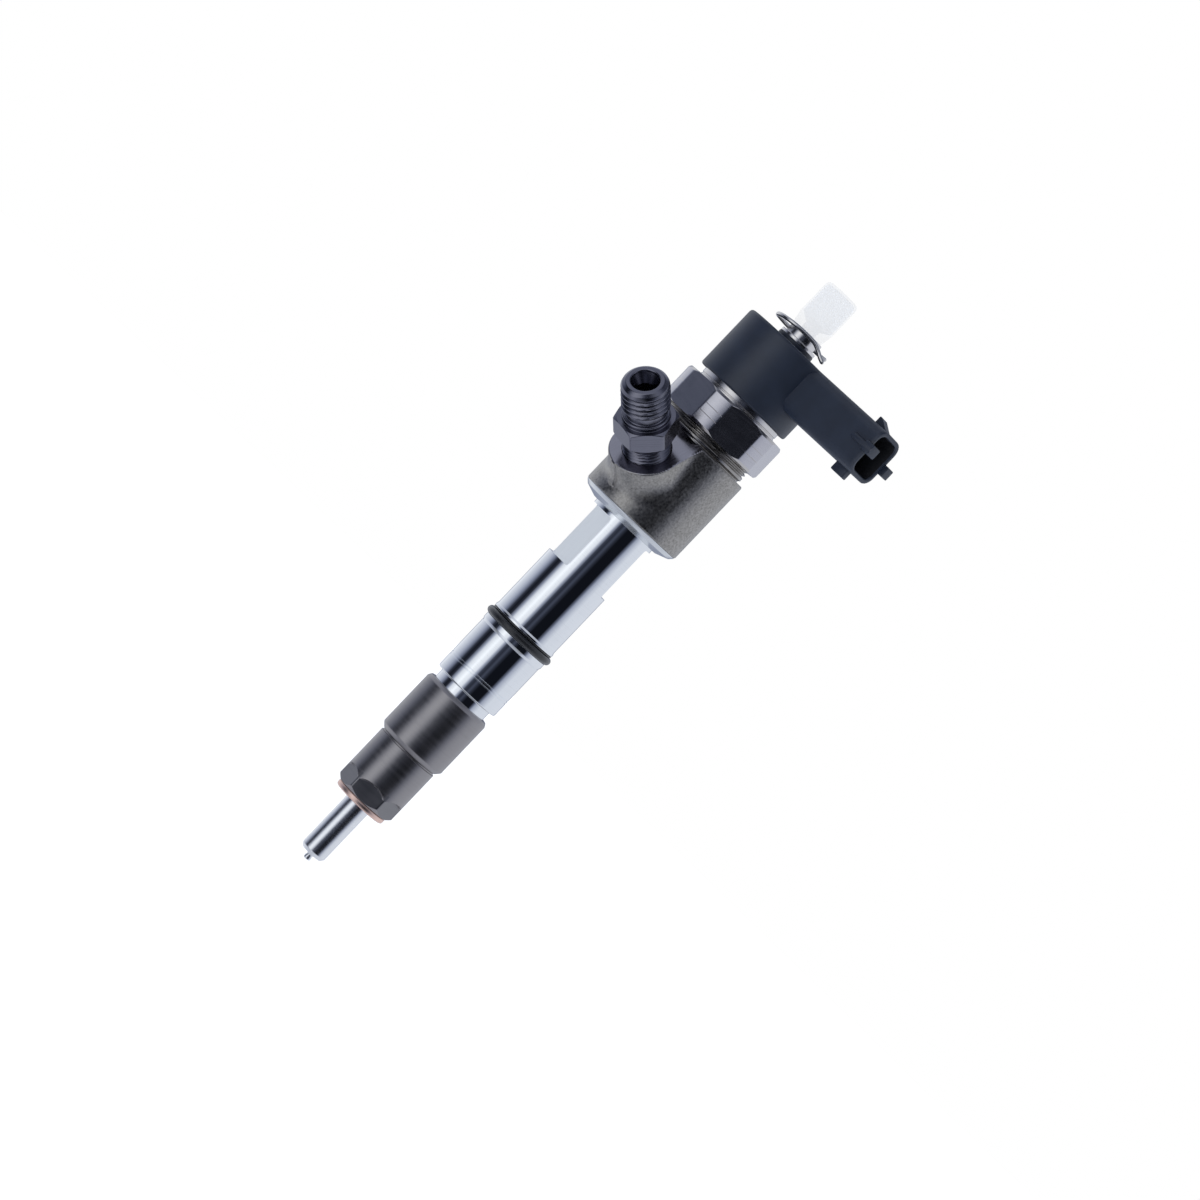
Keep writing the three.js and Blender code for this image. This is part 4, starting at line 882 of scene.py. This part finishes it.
def fitting_shape(theta, z, r):
    """The inlet fitting's two threads, with its hexagon between them."""
    base = np.full(theta.shape, float(r))
    if r > 5.7 and z < HEX_START - 0.01:
        root = threaded(SCREW_RADIUS, 1.0, 0.5, INLET_FACE - 3, HEX_START - 0.3)
        return root(theta, z, r)
    if HEX_START - 0.01 <= z <= HEX_END + 0.01 and r > 5:
        flat = hexagon_radius(theta, FITTING_APOTHEM, math.radians(55))
        return blend_min(base, flat, 0.12)
    if z > SCREW_START and r > 5.7:
        screw = threaded(SCREW_RADIUS, SCREW_PITCH, 0.85, SCREW_START - 0.3, FITTING_TOP - 1.4, 0.7)
        return screw(theta, z, r)
    return base


fitting = revolve("inlet_screw", dense(rounded([
    (FILTER_STOP, FITTING_FOOT),
    (5.4, FITTING_FOOT),
    (SCREW_RADIUS, FITTING_FOOT + 0.6),
    (SCREW_RADIUS, FITTING_FOOT + 1.7),
    (SCREW_RADIUS, HEX_START - 0.5),
    (5.5, HEX_START - 0.45),
    (5.5, HEX_START, 0.1),
    (7.1, HEX_START, 0.1),
    (FITTING_CORNER, HEX_START + 0.55, 0.2),
    (FITTING_CORNER, HEX_END - 0.55, 0.2),
    (7.1, HEX_END, 0.1),
    (5.85, HEX_END, 0.15),
    (5.85, NECK_START, 0.4),
    (5.0, NECK_START + 0.1, 0.3),
    (5.0, SCREW_START - 0.6, 0.2),
    (SCREW_RADIUS, SCREW_START, 0.15),
    (SCREW_RADIUS, FITTING_TOP - 1.7, 0.4),
    (5.6, FITTING_TOP - 0.75, 0.5),
    (4.7, FITTING_TOP, 0.6),
    (FITTING_MOUTH, FITTING_TOP, 0.35),
    (FITTING_MOUTH - 0.15, FITTING_TOP - 0.6, 0.2),
    (FITTING_BORE, 37.3),
    (FITTING_BORE, FITTING_FOOT + 1.9),
    (FILTER_STOP, FITTING_FOOT + 1.9),
], steps=4), FITTING_FOOT + 1.7, FITTING_TOP, 0.10), 180, fitting_shape, placed=INLET_FRAME)
settle(fitting, "housing", "black_steel", ["inlet_fitting"], BLACK)

# ---------------------------------------------------------------- solenoid nut and sleeve


HEX_APOTHEM = 14.4
HEX_CORNER = 15.3
HEX_INNER = 13.3
NUT_SCREW_BORE = 13.2
NUT_LIP = 12.1
NUT_LEDGE = HEX_TOP - 2.8


def solenoid_nut_shape(theta, z, r):
    """A hexagon outside, round inside, at every height z."""
    base = np.full(theta.shape, float(r))
    if r < HEX_INNER:
        return base
    return blend_min(base, hexagon_radius(theta, HEX_APOTHEM, HEX_AZIMUTH), 0.05)


solenoid_nut = revolve("solenoid_nut_shell", dense(rounded([
    (NUT_SCREW_BORE, HEX_LOW, 0.1),
    (HEX_INNER + 0.05, HEX_LOW, 0.1),
    (HEX_CORNER - 0.55, HEX_LOW + 0.15, 0.2),
    (HEX_CORNER, HEX_LOW + 0.8, 0.3),
    (HEX_CORNER, HEX_LOW + 3.2),
    (HEX_CORNER - 0.06, HEX_LOW + 3.28),
    (HEX_CORNER, HEX_LOW + 3.36),
    (HEX_CORNER, HEX_LOW + 5.4),
    (HEX_CORNER - 0.05, HEX_LOW + 5.47),
    (HEX_CORNER, HEX_LOW + 5.54),
    (HEX_CORNER, HEX_TOP - 0.8, 0.2),
    (HEX_CORNER - 0.55, HEX_TOP - 0.15, 0.2),
    (NUT_LIP, HEX_TOP, 0.1),
    (NUT_LIP, NUT_LEDGE),
    (NUT_SCREW_BORE, NUT_LEDGE),
], steps=4), HEX_LOW, HEX_TOP, 0.16), 360, solenoid_nut_shape)
settle(solenoid_nut, "housing", "hex_nut_steel", ["solenoid_nut"], HEX, HEX_FLAT)


def on_hex_flat(centre, normal):
    if centre.xy.length < HEX_INNER or abs(normal.z) > 0.3:
        return False
    return across_flats(centre, HEX_AZIMUTH) < HEX_APOTHEM + 0.04


paint(solenoid_nut, 1, on_hex_flat)

SLEEVE_BORE = 10.7
SLEEVE_RADIUS = 12.0
SLEEVE_FLANGE = 12.9
SEAL_GROOVE = BODY_TOP + 1.2
sleeve = revolve("sleeve", rounded([
    (SLEEVE_BORE, BODY_TOP),
    (11.3, BODY_TOP),
    (11.3, SEAL_GROOVE),
    (12.5, SEAL_GROOVE),
    (12.5, BODY_TOP),
    (SLEEVE_FLANGE, BODY_TOP, 0.1),
    (SLEEVE_FLANGE, NUT_LEDGE, 0.1),
    (SLEEVE_RADIUS, NUT_LEDGE, 0.1),
    (SLEEVE_RADIUS, HEX_TOP + 0.25),
    (SLEEVE_RADIUS - 0.2, HEX_TOP + 0.4, 0.1),
    (SLEEVE_RADIUS - 0.2, HEX_TOP + 0.6, 0.1),
    (SLEEVE_RADIUS, HEX_TOP + 0.75, 0.1),
    (SLEEVE_RADIUS, SLEEVE_TOP, 0.3),
    (9.4, SLEEVE_TOP),
    (9.4, SLEEVE_TOP - 0.7),
    (SLEEVE_BORE, SLEEVE_TOP - 0.7),
]), 144)
settle(sleeve, "housing", "ground_steel", ["solenoid_sleeve"], SLEEVE)

# ---------------------------------------------------------------- plastic cap and connector

ARM_REACH = 39.5
ARM_HALF_WIDTH = 5.6
ARM_HALF_HEIGHT = 6.5
SOCKET_HALF_WIDTH = 4.4
SOCKET_HALF_HEIGHT = 5.3
SOCKET_DEPTH = 13.5
ARM_CENTRE = CAP_TOP - ARM_HALF_HEIGHT
ARM_FLOOR = ARM_CENTRE - ARM_HALF_HEIGHT
KEY_HEIGHT = ARM_CENTRE + 0.6
CONNECTOR_END = 40.9
CAP_RADIUS = 13.75
CAP_BORE = 12.15
CAP_ROOF = 145.5


def bar_loop(half_x, half_z, corner, y, per_corner=7):
    """A rounded rectangle about the arm's axis."""
    points = []
    for sx, sz, start in ((1, 1, 0), (-1, 1, 90), (-1, -1, 180), (1, -1, 270)):
        for k in range(per_corner):
            angle = math.radians(start + 90 * k / (per_corner - 1))
            points.append((sx * (half_x - corner) + corner * math.cos(angle), y,
                           ARM_CENTRE + sz * (half_z - corner) + corner * math.sin(angle)))
    return points


cap = revolve("cap", rounded([
    (CAP_BORE, CAP_LOW, 0.2),
    (CAP_RADIUS, CAP_LOW, 0.75),
    (CAP_RADIUS, CAP_TOP, 1.1),
    (4.75, CAP_TOP, 0.15),
    (4.75, 148.0),
    (5.3, 148.0),
    (5.3, CAP_ROOF),
    (CAP_BORE, CAP_ROOF),
], steps=7), 160)
arm = loft("arm", [
    *[bar_loop(ARM_HALF_WIDTH, ARM_HALF_HEIGHT, 3.0, y)
      for y in np.linspace(12.0, ARM_REACH - 0.3, 40)],
    *[bar_loop(ARM_HALF_WIDTH - inset, ARM_HALF_HEIGHT - inset, 3.0 - inset, ARM_REACH - back)
      for inset, back in ((0.08, 0.09), (0.3, 0))],
    *[bar_loop(SOCKET_HALF_WIDTH + flare, SOCKET_HALF_HEIGHT + flare, corner, ARM_REACH - back)
      for flare, corner, back in ((0.35, 2.3, 0), (0.15, 2.15, 0.12), (0, 2.0, 0.4),
                                  (0, 2.0, SOCKET_DEPTH))],
], sharp=40)
combine(cap, arm, "UNION", 40)

lug_low = bevelled_block("lug_low", (-1.0, 1.0), (32.5, 36.8), (ARM_FLOOR - 2.3, ARM_FLOOR + 0.6))
combine(cap, lug_low, "UNION", 40)
lug_far = bevelled_block("lug_far", (-7.9, -4.9), (CONNECTOR_END - 5, CONNECTOR_END),
                         (ARM_CENTRE - 2.0, ARM_CENTRE + 0.8))
combine(cap, lug_far, "UNION", 40)
ramp_side = [(33.0, CAP_TOP - 0.8), (37.0, CAP_TOP - 0.8), (37.0, CAP_TOP + 0.1),
             (33.75, CAP_TOP + 1.85), (33.15, CAP_TOP + 1.85), (33.0, CAP_TOP + 1.6)]
ramp = loft("ramp", [
    [(x, y + (0.12 if abs(x) > 1.35 else 0) * (35 - y) / 2, z) for y, z in ramp_side]
    for x in (-1.4, -1.25, 1.25, 1.4)])
combine(cap, ramp, "UNION", 40)
RIDGE_FOOT = 4.9
ridge_section = rounded([
    (RIDGE_FOOT, -0.75),
    (6.05, -0.75, 0.3),
    (6.4, -0.35, 0.3),
    (6.4, 0.35, 0.3),
    (6.05, 0.75, 0.3),
    (RIDGE_FOOT, 0.75),
], steps=3)
ridge = loft("ridge", [
    [(RIDGE_FOOT + (x - RIDGE_FOOT) * grow, y, KEY_HEIGHT + dz * wide) for x, dz in ridge_section]
    for y, grow, wide in ((33.6, 0.3, 0.5), (33.8, 0.75, 0.8), (34.3, 0.95, 0.97), (34.9, 1, 1),
                          (CONNECTOR_END - 0.2, 1, 1), (CONNECTOR_END, 0.95, 0.9))])
combine(cap, ridge, "UNION", 40)
TONGUE_HALF = 1.4
tongue = bevelled_block("tongue", (2.45, 6.35), (38.1, CONNECTOR_END),
                        (KEY_HEIGHT - TONGUE_HALF, KEY_HEIGHT + TONGUE_HALF), 0.35)
combine(cap, tongue, "UNION", 40)
settle(cap, "housing", "plastic", ["solenoid_cap"], PLASTIC, SOCKET_SHADE)


def in_socket_shade(centre, normal):
    inside = (abs(centre.x) < SOCKET_HALF_WIDTH + 0.03
              and abs(centre.z - ARM_CENTRE) < SOCKET_HALF_HEIGHT + 0.03
              and 25 < centre.y < ARM_REACH - 0.3)
    on_tongue = (centre.x > 2.4 and centre.y > 38.0
                 and abs(centre.z - KEY_HEIGHT) < TONGUE_HALF + 0.05)
    return inside and not on_tongue


# The socket's inner walls get the near-black look, which is painted shade in the recess and not a
# different plastic
paint(cap, 1, in_socket_shade)

BLADE_HALF_THICKNESS = 0.4
BLADE_HALF_WIDTH = 1.2
for name, centre in (("terminal_lower", ARM_CENTRE - 2.5), ("terminal_upper", ARM_CENTRE + 2.5)):
    near = low(name)
    far = high(name)
    blade_loops = []
    for y, sx, sz in ((near.y, 1, 1), (far.y - 1.1, 1, 1), (far.y - 0.4, 0.75, 0.85),
                      (far.y, 0.3, 0.6)):
        half_x = BLADE_HALF_THICKNESS * sx
        half_z = BLADE_HALF_WIDTH * sz
        bevel = 0.12 * sx
        blade_loops.append([
            (half_x, y, centre - half_z + bevel), (half_x, y, centre + half_z - bevel),
            (half_x - bevel, y, centre + half_z), (-half_x + bevel, y, centre + half_z),
            (-half_x, y, centre + half_z - bevel), (-half_x, y, centre - half_z + bevel),
            (-half_x + bevel, y, centre - half_z), (half_x - bevel, y, centre - half_z)])
    blade = loft(name.replace("terminal", "blade"), blade_loops)
    leg = bevelled_block("leg", (-BLADE_HALF_THICKNESS, BLADE_HALF_THICKNESS),
                         (near.y, near.y + 1.0), (near.z, centre), 0.1)
    combine(blade, leg, "UNION", 30)
    settle(blade, "housing", "tinned", [name], TINNED)

# ---------------------------------------------------------------- return port and its collar

PORT_FLANGE = 5.2
PORT_NECK = 4.7
PORT_BEAD = 5.25
PORT_GROOVE = 4.3
PORT_RIM = 4.95
PLUG_BORE = 3.0
PLUG_BORE_FLOOR = PORT_TOP - 9.9
RETURN_BORE = 1.5
COLLAR_TOP = CAP_TOP + 1.2
GROOVE_START = CAP_TOP + 2.1
GROOVE_END = CAP_TOP + 3.8
port = revolve("port", rounded([
    (RETURN_BORE, PORT_LOW),
    (PORT_FLANGE, PORT_LOW, 0.1),
    (PORT_FLANGE, PORT_LOW + 2.2, 0.1),
    (PORT_NECK, PORT_LOW + 2.2),
    (PORT_NECK, COLLAR_TOP),
    (PORT_BEAD, COLLAR_TOP, 0.15),
    (PORT_BEAD, GROOVE_START, 0.2),
    (PORT_GROOVE, GROOVE_START, 0.1),
    (PORT_GROOVE, GROOVE_END, 0.1),
    (PORT_RIM, GROOVE_END, 0.15),
    (PORT_RIM, PORT_TOP, 0.3),
    (PLUG_BORE, PORT_TOP, 0.1),
    (PLUG_BORE, PLUG_BORE_FLOOR),
    (RETURN_BORE, PLUG_BORE_FLOOR),
], steps=4), 96)
settle(port, "housing", "ground_steel", ["return_port"], PORT)
collar = revolve("collar", rounded([
    (4.75, CAP_TOP, 0.1),
    (5.35, CAP_TOP, 0.1),
    (5.35, COLLAR_TOP, 0.3),
    (4.75, COLLAR_TOP, 0.1),
]), 96)
settle(collar, "housing", "seal_rubber", ["port_collar"], PLASTIC)

# ---------------------------------------------------------------- clip and protective cap

LEG = 4.95
WIRE_RADIUS = 0.54
CLIP_HEIGHT = (low("retaining_clip").z + high("retaining_clip").z) / 2
clip_points = [
    (-7.5, 6.3, -1.0), (-6.4, 5.95, -0.5), (-5.0, 5.65, 0.3), (-3.0, 5.58, 1.15), (0, 5.6, 1.35),
    (3.0, 5.58, 1.25), (5.3, 4.9, 1.05), (7.2, 3.3, 0.8), (8.2, 0.6, 0.5), (8.0, -1.4, 0.35),
    (6.6, -3.4, 0.25), (4.8, -4.6, 0.15), (2.5, -LEG, 0.1), (0, -LEG, 0.08), (-2.5, -LEG, 0.1),
    (-5.2, -5.0, 0.15), (-6.5, -5.5, 0.2), (-7.5, -6.1, 0.3)]
turn = Matrix.Rotation(CLIP_AZIMUTH, 4, "Z")
clip_path = [turn @ Vector((x, y, z + CLIP_HEIGHT)) for x, y, z in smooth_path(clip_points, 6)]
clip = tube("clip_wire", clip_path, WIRE_RADIUS)
settle(clip, "clip", "spring_steel", ["retaining_clip"], WIRE)

PLUG_RADIUS = 2.9
PLUG_HOLLOW = 2.1
HOOD_RADIUS = 5.0
HOOD_HOLLOW = 4.55
hood = revolve("hood", rounded([
    (PLUG_HOLLOW, HOOD_LOW, 0.15),
    (PLUG_RADIUS, HOOD_LOW, 0.25),
    (PLUG_RADIUS, PORT_TOP + 0.05),
    (4.4, PORT_TOP + 0.05, 0.2),
    (4.55, PORT_TOP + 0.6, 0.3),
    (4.9, PORT_TOP + 2.6, 0.6),
    (HOOD_RADIUS, PORT_TOP + 3.4, 0.5),
    (HOOD_RADIUS, HOOD_TOP, 1.5),
    (0, HOOD_TOP),
    (0, HOOD_TOP - 0.6),
    (HOOD_HOLLOW, HOOD_TOP - 0.6, 1.2),
    (HOOD_HOLLOW, PORT_TOP + 3.5, 0.5),
    (PLUG_HOLLOW, PORT_TOP + 2.0, 0.4),
], steps=6), 128)
settle(hood, "cap", "clear_plastic", ["protective_cap"], HOOD)

# ---------------------------------------------------------------- carried-over inner pieces

SLOT_OF = {
    "nozzle_needle": "hard_steel", "control_piston": "hard_steel", "valve_body": "hard_steel",
    "valve_ball": "hard_steel", "ball_holder": "hard_steel", "armature_guide": "hard_steel",
    "armature_pin": "hard_steel", "valve_clamp_nut": "nut_steel", "solenoid_core": "nut_steel",
    "valve_seal_ring": "seal_rubber", "solenoid_o_ring": "seal_rubber", "coil_bobbin": "plastic",
    "solenoid_coil": "coil_wire",
}
for name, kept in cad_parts.items():
    if name in replaced:
        continue
    look = SLOT_LOOKS[SLOT_OF.get(name, "spring_steel")]
    for index in range(len(kept.material_slots)):
        kept.material_slots[index].material = look

# ---------------------------------------------------------------- floor, light and camera

FLOOR_RADIUS = 1400
FLOOR_SIDES = 96
floor = loft("floor", [
    [(radius * math.cos(FULL_TURN * k / FLOOR_SIDES), radius * math.sin(FULL_TURN * k / FLOOR_SIDES),
      NOSE - depth) for k in range(FLOOR_SIDES)]
    for radius, depth in ((FLOOR_RADIUS, 14.0), (FLOOR_RADIUS, 11.5), (FLOOR_RADIUS - 2, 11.0))])
floor_look, floor_tree, floor_shader, floor_place = start_material("pale_floor")
floor_colours = two_tone(floor_tree, noise(floor_tree, floor_place, 40, 3),
                         (0.86, 0.86, 0.865), (0.88, 0.88, 0.885))
floor_tree.links.new(floor_colours, floor_shader.inputs["Base Color"])
floor_shader.inputs["Roughness"].default_value = 0.9
floor_shader.inputs["Emission Color"].default_value = (1, 1, 1, 1)
floor_shader.inputs["Emission Strength"].default_value = 0.8
floor.data.materials.append(floor_look)
floor.visible_glossy = False

CAMERA_AZIMUTH = math.radians(34.4)
CAMERA_TILT = math.radians(1.6)
CAMERA_ROLL = math.radians(46.36)
TARGET = Vector((-4.7, 6.9, 76.4))
DISTANCE = 1230
toward = Vector((math.cos(CAMERA_AZIMUTH) * math.cos(CAMERA_TILT),
                 math.sin(CAMERA_AZIMUTH) * math.cos(CAMERA_TILT), math.sin(CAMERA_TILT)))
up_axis = (Vector((0, 0, 1)) - toward * toward.z).normalized()
side_axis = toward.cross(up_axis).normalized()
right = math.cos(CAMERA_ROLL) * up_axis - math.sin(CAMERA_ROLL) * side_axis
above = math.sin(CAMERA_ROLL) * up_axis + math.cos(CAMERA_ROLL) * side_axis
camera_data = bpy.data.cameras.new("camera")
camera = bpy.data.objects.new("camera", camera_data)
scene.collection.objects.link(camera)
place = (TARGET + toward * DISTANCE) * MM
camera.matrix_world = Matrix((
    (right.x, above.x, toward.x, place.x),
    (right.y, above.y, toward.y, place.y),
    (right.z, above.z, toward.z, place.z),
    (0, 0, 0, 1)))
camera_data.lens = 151.9
camera_data.sensor_width = 36
camera_data.clip_start = 0.01
camera_data.clip_end = 20
scene.camera = camera

world = bpy.data.worlds.new("studio")
scene.world = world
world.use_nodes = True
sky = world.node_tree
sky.nodes.clear()
direction = sky.nodes.new("ShaderNodeTexCoord").outputs["Generated"]
turned_round = node(sky, "ShaderNodeMapping", {
    "Vector": direction, "Rotation": (0, 0, -CAMERA_AZIMUTH)}).outputs["Vector"]
split = node(sky, "ShaderNodeSeparateXYZ", {"Vector": turned_round})
around = node(sky, "ShaderNodeMath", {0: split.outputs["Y"], 1: split.outputs["X"]},
              operation="ARCTAN2").outputs[0]
position = stretch(sky, around, -math.pi, math.pi, 0, 1)
# Azimuth from the camera's, in degrees, and the brightness of the soft panels there
PANELS = [(-180, 0.30), (-166, 0.35), (-156, 0.82), (-150, 0.82), (-131, 0.66), (-116, 0.53),
          (-104, 0.37), (-94, 0.2), (-84, 0.034), (-75, 0.009), (-66, 0.025), (-57, 0.31),
          (-50, 0.71), (-42, 0.87), (-35, 1.0), (-28, 0.86), (-20, 0.76), (-14, 0.34),
          (-7, 0.05), (0, 0.026), (7, 0.06), (14, 0.025), (21, 0.006), (50, 0.006),
          (57, 0.13), (63, 0.36), (75, 0.56), (86, 0.68), (131, 0.70), (156, 0.70),
          (166, 0.35), (180, 0.30)]
# Height of the direction, from straight down to straight up, and the brightness there
ENDS = [(-1.0, 0.6), (0.0, 0.6), (0.62, 0.58), (0.8, 0.42), (0.93, 0.10), (1.0, 0.06)]


def panel_ramp(value, stops, start, span):
    """Soft panels along one direction, cooler where they are darker."""
    ramp = node(sky, "ShaderNodeValToRGB", {"Fac": value})
    made = ramp.color_ramp.elements
    while len(made) > 1:
        made.remove(made[-1])
    for index, (at, level) in enumerate(stops):
        stop = made[0] if index == 0 else made.new((at - start) / span)
        stop.position = (at - start) / span
        dim = (1 - level) ** 2
        stop.color = (level * (0.965 - 0.12 * dim), level, level * (1.05 + 0.5 * dim), 1)
    return ramp.outputs["Color"]


height = stretch(sky, split.outputs["Z"], -1, 1, 0, 1)
upper = stretch(sky, split.outputs["Z"], 0.28, 0.65, 0, 0.9)
lower = stretch(sky, split.outputs["Z"], -0.45, -0.85, 0, 0.7)
ends = node(sky, "ShaderNodeMath", {0: upper, 1: lower}, operation="MAXIMUM").outputs[0]
panels = mix_colours(sky, ends, panel_ramp(position, PANELS, -180, 360),
                     panel_ramp(height, ENDS, -1, 2))
rays = sky.nodes.new("ShaderNodeLightPath")
seen = node(sky, "ShaderNodeMath", {
    0: rays.outputs["Is Camera Ray"], 1: rays.outputs["Is Transmission Ray"]},
    operation="MAXIMUM").outputs[0]
lamp = node(sky, "ShaderNodeBackground", {"Color": panels, "Strength": 1.0})
paper = node(sky, "ShaderNodeBackground", {"Color": (1, 1, 1, 1), "Strength": 1.0})
blend = node(sky, "ShaderNodeMixShader", {
    0: seen, 1: lamp.outputs[0], 2: paper.outputs[0]})
node(sky, "ShaderNodeOutputWorld", {"Surface": blend.outputs[0]})

scene.view_settings.view_transform = "Standard"
scene.view_settings.look = "None"
